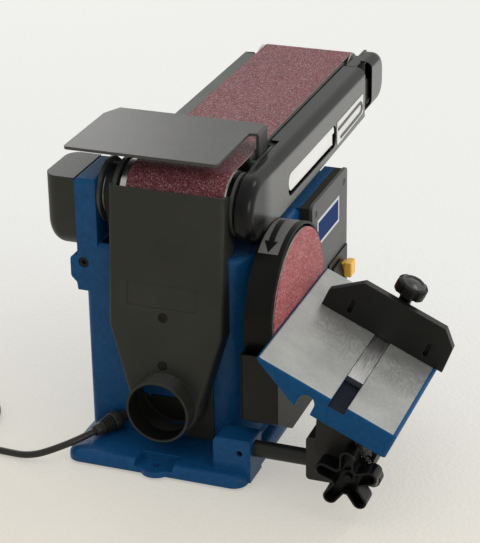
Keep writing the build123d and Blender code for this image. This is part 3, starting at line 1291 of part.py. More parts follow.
# Plain coloured plate on the switch panel
with BuildPart() as front_plate:
    block(
        (panel_x, panel_x + 0.5),
        (switch_y[0] + 15.0, switch_y[0] + 88.0),
        (switch_z[1] - 51.0, switch_z[1] - 22.0),
    )
front_plate.part.label = "front_plate"
export_step(front_plate.part, "parts/front_plate.step")

# Strain relief of the mains lead: a stepped rubber sleeve set in the front wall
gland_plane = Plane(origin=gland_at, z_dir=gland_dir)
sleeve_r = (9.5, 8.5, 6.5)
sleeve_at = (7.0, 16.0, 28.0, 37.0)
with BuildPart(gland_plane) as cord_gland:
    rod_z(0, 0, (-10.0, sleeve_at[0]), 6.0)
    for r, low, high in zip(sleeve_r, sleeve_at[:-1], sleeve_at[1:]):
        rod_z(0, 0, (low, high), r)
    rod_z(0, 0, (sleeve_at[2], sleeve_at[3] + 1), CORD_D / 2 + PRESS, Mode.SUBTRACT)
cord_gland.part.label = "cord_gland"
export_step(cord_gland.part, "parts/cord_gland.step")

# Mains lead: from the sleeve down to the bench, then left to the coil
mouth = gland_plane.from_local_coords(Vector(0, 0, sleeve_at[2]))
ahead = gland_plane.from_local_coords(Vector(0, 0, sleeve_at[3] + 8.0))
bench = CORD_D / 2 + 0.1
coil_at = (-250.0, -118.0)
cord_y = coil_at[1] - COIL_R
route = [
    (mouth.X, mouth.Y, mouth.Z),
    (ahead.X, ahead.Y, ahead.Z),
    (-98.0, -164.0, 18.4),
    (-126.0, -171.0, 6.3),
    (-158.0, -166.0, bench + 0.2),
    (-188.0, cord_y - 1.5, bench),
    (-214.0, cord_y, bench + 1.2),
    (coil_at[0], cord_y, bench + 3.0),
]


def between(a, b):
    return [b[i] - a[i] for i in range(3)]


def turn_radius(a, b, c):
    # Widest arc that still leaves a straight piece on both runs
    one = between(a, b)
    two = between(b, c)
    long_1 = sqrt(sum(v * v for v in one))
    long_2 = sqrt(sum(v * v for v in two))
    bend = acos(sum(p * q for p, q in zip(one, two)) / long_1 / long_2)
    return 0.45 * min(long_1, long_2) / tan(bend / 2)


cord_radii = [turn_radius(*route[i : i + 3]) for i in range(len(route) - 2)]
print("lead bend radii", [round(r, 1) for r in cord_radii])
with BuildPart() as cord:
    with BuildLine() as lead:
        FilletPolyline(*route, radius=cord_radii)
    print("lead outside the coil", round(lead.wire().length, 1))
    with BuildSketch(Plane(origin=lead.line @ 0, z_dir=lead.line % 0)):
        Circle(CORD_D / 2)
    sweep()
print("lead volume over section times length", cord.part.volume / (pi * CORD_D**2 / 4 * lead.wire().length))
cord.part.label = "cord"
export_step(cord.part, "parts/cord.step")

with BuildPart() as cord_coil:
    with Locations((coil_at[0], coil_at[1], COIL_BUNDLE_R)):
        Torus(COIL_R, COIL_BUNDLE_R)
cord_coil.part.label = "cord_coil"
export_step(cord_coil.part, "parts/cord_coil.step")

# Two-pin plug at the end of the lead
plug_x = coil_at[0] - 14.0
plug_y = cord_y - 8.1
plug_z = 17.0
with BuildPart() as plug:
    rod_x((plug_x - 34.0, plug_x), plug_y, plug_z, 5.5)
    rod_x((plug_x - 62.0, plug_x - 30.0), plug_y, plug_z, 16.5)
    for side in (-1, 1):
        rod_x((plug_x - 81.0, plug_x - 60.0), plug_y + side * 9.5, plug_z, 2.4)
plug.part.label = "plug"
export_step(plug.part, "parts/plug.step")
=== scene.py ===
# %% [markdown]
# # A belt and disc sander on a bench
#
# This lesson dresses a finished CAD model of a small bench sander: a belt on a tilting arm, a disc with its table, a
# dust chute in front and a blue cast base that carries it all. The CAD model is the frame. It says where every piece
# is and how it moves, so here we only add what a solid modeller leaves out: finishes, marks, a soft lead and light.

# %% Load the frame
import json
import math

import bmesh
import bpy
from mathutils import Matrix, Vector

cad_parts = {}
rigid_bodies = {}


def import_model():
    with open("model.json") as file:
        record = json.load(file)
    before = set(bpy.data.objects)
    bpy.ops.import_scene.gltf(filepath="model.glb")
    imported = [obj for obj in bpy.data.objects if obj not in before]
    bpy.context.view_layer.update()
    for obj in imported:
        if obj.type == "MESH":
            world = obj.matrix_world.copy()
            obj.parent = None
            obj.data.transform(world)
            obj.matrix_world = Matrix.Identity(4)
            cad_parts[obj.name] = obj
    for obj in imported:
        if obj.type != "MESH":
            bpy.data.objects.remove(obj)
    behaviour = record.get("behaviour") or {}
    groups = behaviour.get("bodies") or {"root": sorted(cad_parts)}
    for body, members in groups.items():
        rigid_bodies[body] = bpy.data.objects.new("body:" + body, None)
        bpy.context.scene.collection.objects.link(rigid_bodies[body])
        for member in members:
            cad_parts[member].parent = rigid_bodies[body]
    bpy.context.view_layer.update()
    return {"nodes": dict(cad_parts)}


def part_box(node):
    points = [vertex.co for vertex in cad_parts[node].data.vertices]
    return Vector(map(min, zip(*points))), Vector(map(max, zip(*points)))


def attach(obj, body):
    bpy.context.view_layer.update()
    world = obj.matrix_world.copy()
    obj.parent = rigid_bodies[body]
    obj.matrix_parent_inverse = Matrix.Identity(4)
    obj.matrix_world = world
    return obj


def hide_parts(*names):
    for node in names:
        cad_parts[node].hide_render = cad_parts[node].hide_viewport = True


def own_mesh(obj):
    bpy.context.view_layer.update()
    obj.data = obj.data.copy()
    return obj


for start_up in list(bpy.data.objects):
    bpy.data.objects.remove(start_up)
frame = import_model()
solid = frame["nodes"]

# %% [markdown]
# ## The camera
#
# The picture was taken from the front right, a little above the machine, with a long lens. Three directions describe
# how a camera stands: where its right side, its top and its back point. Put as the columns of a matrix, they turn the
# camera exactly, which is easier to repeat than angles. The image is upright, so the 36 mm sensor is its height.

# %% Camera
camera = bpy.data.objects.new("camera", bpy.data.cameras.new("camera"))
bpy.context.scene.collection.objects.link(camera)
SENSOR, FOCAL_PIXELS, PICTURE_PIXELS = 36.0, 1953.25, 543.0
CAMERA_PLACE = (0.661262, -1.671803, 0.976421)
camera.data.lens = FOCAL_PIXELS * SENSOR / PICTURE_PIXELS
camera.data.sensor_width = SENSOR
camera.data.clip_end = 50.0
to_right = Vector((0.93842, 0.34521, -0.01417))
to_top = Vector((-0.13202, 0.39618, 0.90863))
to_back = Vector((0.31929, -0.85081, 0.41735))
turn = Matrix((to_right, to_top, to_back)).transposed().to_4x4()
camera.matrix_world = Matrix.Translation(CAMERA_PLACE) @ turn
bpy.context.scene.camera = camera
print("lens", round(camera.data.lens, 1), "mm")

# %% [markdown]
# ## The mains lead
#
# A lead is one long curve with a round section. It leaves the sleeve in the base's front wall, sinks to the bench and
# runs to the left; what the picture doesn't show is wound up there and tied. A NURBS curve is pulled towards its
# control points like a springy strip, so a few points give the slack bends a real cable has. The points are in
# millimetres, as a maker would note them, and are divided by 1000 when they are used.

# %% Where the lead runs
LEAD_D = 7.0
sleeve_mouth = (-70.11, -122.55, 23.43)
lead_points = [
    sleeve_mouth,
    (-78.07, -137.45, 21.57),
    (-97.0, -162.0, 17.6),
    (-126.0, -171.0, 6.3),
    (-158.0, -166.5, 3.8),
    (-188.0, -164.5, 3.8),
    (-216.0, -169.0, 4.4),
    (-236.0, -172.0, 4.6),
]
print("points before the coil:", len(lead_points))

# %% [markdown]
# The coil has two layers. The lower one is wound inwards, the upper one outwards, so that the lead comes in and goes
# out on the outside. Each turn keeps its own place in the bundle and moves over to the next place in a short stretch.
# Sixteen points a turn keep the circle round; the spline runs a little inside its points, so they stand a bit wider.
# Before the lead leaves for its plug, the last quarter turn rises over the rest.

# %% Winding the coil
COIL_MIDDLE = (-250.0, -118.0)
COIL_R = 42.0
places = [(12.15, 4.6), (4.05, 4.6), (-4.05, 4.6), (-12.15, 4.6), (-8.1, 11.6), (0.0, 11.6), (8.1, 11.6)]
moves = [330, 690, 1050, 1330, 1690, 2050]
TURN_END, TURN_STEP, MOVE_SPAN = 2160, 22.5, 72
RISE_START, RISE_SPAN, RISE = 2060, 110, 5.4
POINTS_WIDER = 1.0194


def ease(share):
    share = min(max(share, 0.0), 1.0)
    return share * share * (3 - 2 * share)


def coil_point(angle):
    out, height = places[0]
    for here, there, at in zip(places, places[1:], moves):
        share = ease((angle - at + MOVE_SPAN / 2) / MOVE_SPAN)
        out += (there[0] - here[0]) * share
        height += (there[1] - here[1]) * share
    height += RISE * ease((angle - RISE_START) / RISE_SPAN)
    around = math.radians(-90 - angle)
    wide = (COIL_R + out) * POINTS_WIDER
    return (COIL_MIDDLE[0] + wide * math.cos(around), COIL_MIDDLE[1] + wide * math.sin(around), height)


lead_points += [coil_point(TURN_STEP * step) for step in range(int(TURN_END / TURN_STEP) + 1)]
lead_points += [(-258.0, -168.6, 17.0), (-268.0, -168.2, 17.0), (-278.0, -168.1, 17.0)]
print("points in all:", len(lead_points), "turns:", TURN_END / 360)

# %% [markdown] The order of the spline is set after its points are there: set earlier, Blender would leave straight
# runs. The bevel gives the round section: its depth is one metre, and each point's radius scales it down to the
# lead's own, because Blender also counts that radius when it measures the curve's box.

# %% The lead as a curve
lead_line = bpy.data.curves.new("mains_lead", "CURVE")
lead_line.dimensions = "3D"
lead_line.bevel_depth = 1.0
lead_line.bevel_resolution = 5
lead_line.use_fill_caps = True
strand = lead_line.splines.new("NURBS")
strand.points.add(len(lead_points) - 1)
for point, place in zip(strand.points, lead_points):
    point.co = (place[0] / 1000, place[1] / 1000, place[2] / 1000, 1.0)
    point.radius = LEAD_D / 2000
strand.order_u = 3
strand.use_endpoint_u = True
strand.resolution_u = 6
mains_lead = bpy.data.objects.new("mains_lead", lead_line)
bpy.context.scene.collection.objects.link(mains_lead)
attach(mains_lead, "base")
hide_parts("cord", "cord_coil")

# %% [markdown]
# ## Helpers for small pieces
#
# Most small pieces are either turned (a profile swung about an axis, as on a lathe) or cut from sheet. bmesh lets us
# write both as short functions: points first, then faces between them. Every piece is told which body of the machine
# it rides on.

# %% Turning and cutting
def new_piece(name, points, faces, body, smooth=True):
    mesh = bpy.data.meshes.new(name)
    mesh.from_pydata([tuple(c / 1000 for c in p) for p in points], [], faces)
    work = bmesh.new()
    work.from_mesh(mesh)
    bmesh.ops.remove_doubles(work, verts=work.verts, dist=1e-7)
    bmesh.ops.recalc_face_normals(work, faces=work.faces)
    work.to_mesh(mesh)
    work.free()
    piece = bpy.data.objects.new(name, mesh)
    bpy.context.scene.collection.objects.link(piece)
    if smooth:
        mesh.shade_smooth()
        mesh.set_sharp_from_angle(angle=math.radians(32))
    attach(piece, body)
    return piece


def across(axis):
    axis = Vector(axis).normalized()
    side = axis.orthogonal().normalized()
    return axis, side, axis.cross(side)


def turned(name, profile, start, axis, body, count=48):
    axis, side, other = across(axis)
    points, faces = [], []
    for radius, along in profile:
        for k in range(count):
            a = 2 * math.pi * k / count
            points.append(Vector(start) + axis * along + (side * math.cos(a) + other * math.sin(a)) * radius)
    for ring in range(len(profile) - 1):
        for k in range(count):
            a, b = ring * count + k, ring * count + (k + 1) % count
            faces.append((a, b, b + count, a + count))
    faces.append(tuple(range(count)))
    faces.append(tuple(range(len(points) - count, len(points))))
    return new_piece(name, points, faces, body)


def cut_sheet(name, outline, low, high, place, body, round_mm=0.0):
    count = len(outline)
    points = [place(u, v, low) for u, v in outline] + [place(u, v, high) for u, v in outline]
    faces = [tuple(range(count)), tuple(range(count, 2 * count))]
    faces += [(k, (k + 1) % count, (k + 1) % count + count, k + count) for k in range(count)]
    piece = new_piece(name, points, faces, body)
    if round_mm:
        soft = piece.modifiers.new("soft_edge", "BEVEL")
        soft.width, soft.segments = round_mm / 1000, 2
        soft.limit_method, soft.angle_limit = "ANGLE", math.radians(40)
    return piece


print("helpers ready: turned, cut_sheet")

# %% [markdown]
# ## Sleeve, tie and plug
#
# Where the lead leaves the housing, a rubber sleeve keeps it from kinking: a stout collar, then ribs that grow
# smaller. The profile below is drawn along the sleeve's own axis, from the wall outwards. The plug is turned the same
# way, with finger ribs, and its two pins are bright metal.

# %% Sleeve
sleeve_axis = Vector((-0.47, -0.88, -0.11)).normalized()
sleeve_start = (-57.0, -98.0, 26.5)
sleeve_profile = [(5.9, -9.0), (5.9, 6.8), (8.6, 6.8), (9.5, 7.8), (9.5, 14.6), (8.9, 15.6)]
RIB_START, RIB_PITCH, RIB_R, RIB_TAPER = 15.8, 3.1, 8.5, 0.35
for rib in range(4):
    z = RIB_START + RIB_PITCH * rib
    r = RIB_R - RIB_TAPER * rib
    sleeve_profile += [(r - 1.5, z), (r - 1.5, z + 0.9), (r - 0.3, z + 1.2)]
    sleeve_profile += [(r, z + 1.6), (r, z + 2.6), (r - 0.4, z + 3.0)]
sleeve_profile += [(6.5, 28.6), (6.2, 32.0), (5.6, 36.2), (5.0, 37.0), (3.6, 37.0), (3.55, 29.0)]
sleeve = turned("lead_sleeve", sleeve_profile, sleeve_start, sleeve_axis, "base")
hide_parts("cord_gland")
print("sleeve rings:", len(sleeve_profile))

# %% Tie round the coil
tie_angle = math.radians(150)
tie_out = Vector((math.cos(tie_angle), math.sin(tie_angle), 0))
tie_along = Vector((-math.sin(tie_angle), math.cos(tie_angle), 0))
TIE_STEPS, TIE_INSIDE, TIE_OUTSIDE, TIE_HALF = 64, 3.62, 4.42, 6.0
held = [(COIL_R + out, height) for out, height in places[:6]]
tie_points, tie_faces = [], []
for k in range(TIE_STEPS):
    d = (math.cos(2 * math.pi * k / TIE_STEPS), math.sin(2 * math.pi * k / TIE_STEPS))
    far = max(held, key=lambda p: p[0] * d[0] + p[1] * d[1])
    for gap in (TIE_INSIDE, TIE_OUTSIDE):
        for half in (-TIE_HALF, TIE_HALF):
            r, z = far[0] + gap * d[0], far[1] + gap * d[1]
            tie_points.append(Vector((*COIL_MIDDLE, z)) + tie_out * r + tie_along * half)
for k in range(TIE_STEPS):
    a, b = 4 * k, 4 * ((k + 1) % TIE_STEPS)
    tie_faces += [(a, a + 1, b + 1, b), (a + 2, b + 2, b + 3, a + 3)]
    tie_faces += [(a, b, b + 2, a + 2), (a + 1, a + 3, b + 3, b + 1)]
coil_tie = new_piece("coil_tie", tie_points, tie_faces, "base")
print("tie points:", len(tie_points))

# %% Plug
PLUG_START = (-264.0, -168.1, 17.0)
NECK_PITCH, GRIP_START, GRIP_PITCH, PIN_OFF = 4.6, 40.0, 4.0, 9.5
plug_profile = [(3.6, 6.0), (3.6, 0.0), (4.6, 0.0)]
for rib in range(6):
    x = 1.0 + NECK_PITCH * rib
    plug_profile += [(5.5, x), (5.5, x + 2.6), (4.5, x + 3.0), (4.5, x + 4.2)]
plug_profile += [(6.2, 29.5), (9.0, 31.0), (14.2, 35.0), (15.6, 38.0)]
for rib in range(3):
    x = GRIP_START + GRIP_PITCH * rib
    plug_profile += [(16.4, x), (16.4, x + 2.2), (15.5, x + 2.7), (15.5, x + 3.6)]
plug_profile += [(16.4, 53.0), (16.4, 60.2), (15.0, 62.0), (0.5, 62.0)]
plug_body = turned("plug_body", plug_profile, PLUG_START, (-1, 0, 0), "base")
pin_profile = [(2.4, 61.0), (2.4, 71.0), (2.32, 71.1), (2.32, 79.2), (1.9, 80.4), (1.0, 81.0)]
plug_pins = []
for k, y in enumerate((-PIN_OFF, PIN_OFF)):
    pin_start = (PLUG_START[0], PLUG_START[1] + y, PLUG_START[2])
    plug_pins.append(turned("plug_pin_%d" % k, pin_profile, pin_start, (-1, 0, 0), "base", 24))
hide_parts("plug")
print("plug profile rings:", len(plug_profile))

# %% [markdown] ## Floor and light  The machine stands on pale paper. The paper is creamy near the front and whiter
# towards the back. Half of its own colour is shown to the camera and in reflections as it is, so the paper looks pale
# under the machine too, while the other half still takes the shadow.

# %% Floor plane
FLOOR_HALF = 9.0
floor_mesh = bpy.data.meshes.new("floor")
floor_work = bmesh.new()
bmesh.ops.create_grid(floor_work, x_segments=8, y_segments=8, size=FLOOR_HALF)
floor_work.to_mesh(floor_mesh)
floor_work.free()
floor = bpy.data.objects.new("floor", floor_mesh)
bpy.context.scene.collection.objects.link(floor)
print("floor", floor.dimensions[:2])

# %% [markdown]
# A material is a tree of nodes. The helper below adds one node and fills in its values: a name that is a socket of the
# node sets that socket, any other name sets a property of the node itself. The Light Path node tells which kind of ray
# asks for the colour; its outputs are joined with MAXIMUM, so any of them is enough.

# %% Paper
def part_of(tree, kind, **values):
    made = tree.nodes.new("ShaderNode" + kind)
    for key, value in values.items():
        if key in made.inputs:
            made.inputs[key].default_value = value
        else:
            setattr(made, key, value)
    return made


paper = bpy.data.materials.new("pale_paper")
paper.use_nodes = True
tree = paper.node_tree
link = tree.links.new
shader = tree.nodes["Principled BSDF"]
shader.inputs["Roughness"].default_value = 0.9
where = part_of(tree, "TexCoord")
fibres = part_of(tree, "TexNoise", Scale=220.0, Detail=3.0)
away = part_of(tree, "SeparateXYZ")
cream = part_of(tree, "MapRange")
CREAM_FROM, WHITE_FROM, OWN_SHARE = -0.45, 0.35, 0.5
cream.inputs["From Min"].default_value = CREAM_FROM
cream.inputs["From Max"].default_value = WHITE_FROM
tint = part_of(tree, "ValToRGB")
tint.color_ramp.elements[0].color = (0.81, 0.765, 0.66, 1)
tint.color_ramp.elements[1].color = (0.88, 0.88, 0.862, 1)
dents = part_of(tree, "Bump", Strength=0.5, Distance=0.002)
link(where.outputs["Object"], fibres.inputs["Vector"])
link(where.outputs["Object"], away.inputs["Vector"])
link(away.outputs["Y"], cream.inputs["Value"])
link(cream.outputs["Result"], tint.inputs["Fac"])
link(tint.outputs["Color"], shader.inputs["Base Color"])
link(fibres.outputs["Fac"], dents.inputs["Height"])
link(dents.outputs["Normal"], shader.inputs["Normal"])
ray = part_of(tree, "LightPath")
shown = part_of(tree, "Math", operation="MAXIMUM")
either = part_of(tree, "Math", operation="MAXIMUM")
link(ray.outputs["Is Camera Ray"], either.inputs[0])
link(ray.outputs["Is Glossy Ray"], either.inputs[1])
link(either.outputs[0], shown.inputs[0])
link(ray.outputs["Is Transmission Ray"], shown.inputs[1])
half = part_of(tree, "Math", operation="MULTIPLY")
half.inputs[1].default_value = OWN_SHARE
link(shown.outputs[0], half.inputs[0])
own = part_of(tree, "Emission", Strength=1.0)
link(tint.outputs["Color"], own.inputs["Color"])
laid = part_of(tree, "MixShader")
link(half.outputs[0], laid.inputs[0])
link(shader.outputs[0], laid.inputs[1])
link(own.outputs[0], laid.inputs[2])
link(laid.outputs[0], tree.nodes["Material Output"].inputs["Surface"])
floor_mesh.materials.append(paper)
print("paper nodes:", len(tree.nodes))

# %% [markdown]
# The light is soft: a pale sky that is a little brighter behind the machine, a low lamp at the back left that shines
# along the flat tops, a high one at the back right for the bright edges, and one beside the disc. Together they are
# kept at a level where colours come out about as they are written, so the machine looks right in other rooms too.

# %% Sky
SKY_FRONT, SKY_BACK, SKY_FROM = 0.45, 1.0, -0.8
BRIGHT_SIDE = Vector((0.50, 0.72, 0.48)).normalized()
sky = bpy.data.worlds.new("studio")
bpy.context.scene.world = sky
sky.use_nodes = True
tree = sky.node_tree
link = tree.links.new
tree.nodes.clear()
look = part_of(tree, "TexCoord")
towards = part_of(tree, "VectorMath", operation="DOT_PRODUCT")
towards.inputs[1].default_value = BRIGHT_SIDE
level = part_of(tree, "MapRange")
level.inputs["From Min"].default_value = SKY_FROM
level.inputs["To Min"].default_value = SKY_FRONT
level.inputs["To Max"].default_value = SKY_BACK
even = part_of(tree, "Background", Color=(1.0, 0.995, 0.98, 1))
out = part_of(tree, "OutputWorld")
link(look.outputs["Generated"], towards.inputs[0])
link(towards.outputs["Value"], level.inputs["Value"])
link(level.outputs["Result"], even.inputs["Strength"])
link(even.outputs[0], out.inputs["Surface"])
print("sky from", SKY_FRONT, "in front to", SKY_BACK, "behind")

# %% Lamps
def soft_lamp(name, place, aim, size, watts, colour):
    lamp = bpy.data.objects.new(name, bpy.data.lights.new(name, "AREA"))
    bpy.context.scene.collection.objects.link(lamp)
    lamp.data.shape, lamp.data.size = "SQUARE", size
    lamp.data.energy, lamp.data.color = watts, colour
    lamp.location = place
    lamp.rotation_euler = (Vector(aim) - Vector(place)).to_track_quat("-Z", "Y").to_euler()


soft_lamp("low_left", (-1.5, 2.1, 1.15), (0, 0, 0.25), 1.0, 7.0, (1.0, 0.995, 0.98))
soft_lamp("high_right", (1.5, 1.25, 2.0), (0, 0, 0.15), 0.6, 7.0, (1.0, 0.99, 0.97))
soft_lamp("side_right", (2.1, -0.75, 0.75), (0, 0, 0.2), 0.8, 8.0, (1.0, 0.99, 0.98))
bpy.context.scene.view_settings.view_transform = "Standard"

# %% [markdown]
# ## Finishes
#
# Every finish is a small network of nodes on one shader. Three things make a surface believable: colour that isn't
# quite even, roughness that follows it, and a bump at the scale of the real texture. A fourth, the Bevel node, rounds
# the light on a sharp edge and also tells where an edge is, so paint can be thin there. The coordinates are the
# object's own, in metres, so a scale of 400 means features of about 2.5 mm, and they travel with a moving piece.

# %% Building blocks
class Finish:
    def __init__(self, name, rough, **sockets):
        self.material = bpy.data.materials.new(name)
        self.material.use_nodes = True
        self.tree = self.material.node_tree
        self.shader = self.tree.nodes["Principled BSDF"]
        self.shader.inputs["Roughness"].default_value = rough
        for key, value in sockets.items():
            self.shader.inputs[key.replace("_", " ")].default_value = value
        self.where = part_of(self.tree, "TexCoord")

    def add(self, kind, **values):
        return part_of(self.tree, kind, **values)

    def join(self, a, b):
        self.tree.links.new(a, b)

    def speckle(self, scale, detail=3.0, stretch=(1, 1, 1)):
        noise = self.add("TexNoise", Scale=scale, Detail=detail)
        if stretch == (1, 1, 1):
            self.join(self.where.outputs["Object"], noise.inputs["Vector"])
        else:
            pull = self.add("Mapping", Scale=stretch)
            self.join(self.where.outputs["Object"], pull.inputs["Vector"])
            self.join(pull.outputs["Vector"], noise.inputs["Vector"])
        return noise.outputs["Fac"]

    def shades(self, factor, *stops):
        ramp = self.add("ValToRGB")
        bar = ramp.color_ramp
        while len(bar.elements) < len(stops):
            bar.elements.new(0.5)
        for element, (at, colour) in zip(bar.elements, stops):
            element.position, element.color = at, (*colour, 1)
        self.join(factor, ramp.inputs["Fac"])
        return ramp.outputs["Color"]

    def between(self, factor, low, high, start=0.3, end=0.7):
        span = self.add("MapRange")
        for socket, value in zip(("From Min", "From Max", "To Min", "To Max"), (start, end, low, high)):
            span.inputs[socket].default_value = value
        self.join(factor, span.inputs["Value"])
        return span.outputs["Result"]

    def mix(self, factor, a, b):
        blend = self.add("Mix", data_type="RGBA")
        self.join(factor, blend.inputs["Factor"])
        for socket, colour in zip((blend.inputs[6], blend.inputs[7]), (a, b)):
            if isinstance(colour, tuple):
                socket.default_value = (*colour, 1)
            else:
                self.join(colour, socket)
        return blend.outputs[2]


print("blocks:", [m for m in dir(Finish) if not m.startswith("_")])

# %% [markdown]
# The edge mask compares two normals. The Bevel node looks round each point and averages the directions it finds; on a
# flat face that changes nothing, near an edge the two differ. The dot product turns the difference into a number, and
# a little noise makes the wear uneven, as it is on a tool that has been used. Two more helpers measure a position or a
# direction along a line and multiply two masks; with them a finish can differ between the faces of one piece.

# %% Edges and relief
def edge_mask(f, radius_mm, ragged=900.0):
    soft = f.add("Bevel", samples=4, Radius=radius_mm / 1000)
    flat = f.add("NewGeometry")
    dot = f.add("VectorMath", operation="DOT_PRODUCT")
    f.join(soft.outputs["Normal"], dot.inputs[0])
    f.join(flat.outputs["Normal"], dot.inputs[1])
    near = f.between(dot.outputs["Value"], 1.0, 0.0, 0.80, 0.985)
    worn = f.add("Math", operation="MULTIPLY")
    f.join(near, worn.inputs[0])
    f.join(f.between(f.speckle(ragged, 2.0), 0.0, 1.0, 0.42, 0.6), worn.inputs[1])
    return worn.outputs[0]


def relief(f, height, depth_mm, strength=0.6, round_mm=0.6):
    bump = f.add("Bump", Strength=strength, Distance=depth_mm / 1000)
    f.join(height, bump.inputs["Height"])
    if round_mm:
        soft = f.add("Bevel", samples=4, Radius=round_mm / 1000)
        f.join(soft.outputs["Normal"], bump.inputs["Normal"])
    f.join(bump.outputs["Normal"], f.shader.inputs["Normal"])


def measured(f, socket, along):
    dot = f.add("VectorMath", operation="DOT_PRODUCT")
    f.join(f.where.outputs[socket], dot.inputs[0])
    dot.inputs[1].default_value = along
    return dot.outputs["Value"]


def both(f, a, b):
    times = f.add("Math", operation="MULTIPLY")
    f.join(a, times.inputs[0])
    f.join(b, times.inputs[1])
    return times.outputs[0]


def wears(finish, *names):
    for name in names:
        piece = solid[name] if isinstance(name, str) else name
        piece.data.materials.clear()
        piece.data.materials.append(finish.material)


print("edge_mask, relief, measured, both and wears ready")

# %% [markdown]
# ### Blue enamel on a sand casting
#
# The base is cast in sand and painted thickly. The grain of the sand still shows as small soft hills under a glossy
# skin. Two noises make it: wide hills and fine orange peel. On the high faces that look up, small paler sparks are
# painted into the colour as highlights on the grain, and these faces are duller from dust; on the edges the paint is
# rubbed a little paler. The collar round the switch panel is dark; three position masks cut it out.

# %% Enamel
HIGH_FROM, HIGH_TO = 0.05, 0.10
BAY_X, BAY_Y, BAY_Z, BAY_EDGE = 0.0812, 0.0400, 0.0600, 0.0006
enamel = Finish("blue_enamel", 0.3, Specular_IOR_Level=0.16)
hills = enamel.speckle(230.0, 2.0)
peel = enamel.speckle(900.0, 2.0)
paint = enamel.shades(hills, (0.3, (0.005, 0.060, 0.168)), (0.7, (0.008, 0.077, 0.214)))
looks_up = enamel.between(measured(enamel, "Normal", (0, 0, 1)), 0.0, 1.0, 0.75, 0.95)
stands_high = enamel.between(measured(enamel, "Object", (0, 0, 1)), 0.0, 1.0, HIGH_FROM, HIGH_TO)
on_top = both(enamel, looks_up, stands_high)
# painted highlight: paler sparks on the high faces that look up stand in for glints of light
painted_glints = enamel.between(enamel.speckle(650.0, 3.0), 0.0, 0.8, 0.50, 0.72)
paint = enamel.mix(both(enamel, on_top, painted_glints), paint, (0.035, 0.18, 0.40))
rubbed = enamel.mix(edge_mask(enamel, 1.0), paint, (0.012, 0.10, 0.25))
outwards = enamel.between(measured(enamel, "Object", (1, 0, 0)), 0.0, 1.0, BAY_X, BAY_X + BAY_EDGE)
backwards = enamel.between(measured(enamel, "Object", (0, 1, 0)), 0.0, 1.0, BAY_Y, BAY_Y + BAY_EDGE)
upwards = enamel.between(measured(enamel, "Object", (0, 0, 1)), 0.0, 1.0, BAY_Z, BAY_Z + BAY_EDGE)
switch_bay = both(enamel, both(enamel, outwards, backwards), upwards)
bay_side = enamel.mix(switch_bay, rubbed, (0.030, 0.030, 0.024))
enamel.join(bay_side, enamel.shader.inputs["Base Color"])
duller = enamel.add("Math", operation="ADD")
enamel.join(enamel.between(peel, 0.24, 0.40), duller.inputs[0])
enamel.join(enamel.between(on_top, 0.0, 0.30, 0.0, 1.0), duller.inputs[1])
enamel.join(duller.outputs[0], enamel.shader.inputs["Roughness"])
PEEL_SHARE = 0.35
skin = enamel.add("Math", operation="MULTIPLY_ADD")
enamel.join(peel, skin.inputs[0])
skin.inputs[1].default_value = PEEL_SHARE
enamel.join(hills, skin.inputs[2])
relief(enamel, skin.outputs[0], 0.7, 0.5, 1.6)
wears(enamel, "base_casting")
print("enamel on base_casting, nodes:", len(enamel.tree.nodes))

# %% [markdown]
# ### Moulded plastics
#
# The covers are moulded from filled nylon: dark, slightly grey, with a spark-eroded grain that breaks up the shine.
# One function makes them all; only the colour, the shine and the coarseness differ. A faint cloudiness stands for dust
# and handling. The arm's cover is glossy on its nose and top; on its flat flank a paler grey is painted into the colour
# as the sheen of light reflected along the side. The charcoal covers get paler speckles in the grain of the faces that
# look up. Both are options of the same function.

# %% A moulded plastic
def moulded(name, dark, light, shine, grain, depth_mm, edge=None, round_mm=0.8, gloss=0.25, flank_sheen=None, top=None):
    f = Finish(name, shine, Specular_IOR_Level=gloss)
    grit = f.speckle(grain, 2.0)
    dust = f.speckle(24.0, 4.0)
    colour = f.shades(dust, (0.3, dark), (0.72, light))
    if flank_sheen:
        # painted sheen: the flat flank behind the nose is greyer, standing in for light reflected along the side
        sideways = f.between(measured(f, "Normal", (1, 0, 0)), 0.0, 1.0, 0.94, 0.998)
        behind_nose = f.between(measured(f, "Object", (0, 1, 0)), 0.0, 1.0, -0.062, -0.038)
        colour = f.mix(both(f, sideways, behind_nose), colour, flank_sheen)
    if top:
        # faces that look up get paler speckles in the grain
        upwards = f.between(measured(f, "Normal", (0, 0, 1)), 0.0, 1.0, 0.75, 0.97)
        up_speckles = f.between(f.speckle(900.0, 2.0), 0.3, 1.0, 0.40, 0.62)
        colour = f.mix(both(f, upwards, up_speckles), colour, top)
    if edge:
        colour = f.mix(edge_mask(f, 0.7), colour, edge)
    f.join(colour, f.shader.inputs["Base Color"])
    f.join(f.between(grit, shine - 0.07, shine + 0.09), f.shader.inputs["Roughness"])
    relief(f, grit, depth_mm, 0.7, round_mm)
    return f


print("moulded ready")

# %% Covers, knobs and key
def grey(level):
    return (level, level, level)


deep_black = (grey(0.002), grey(0.004))
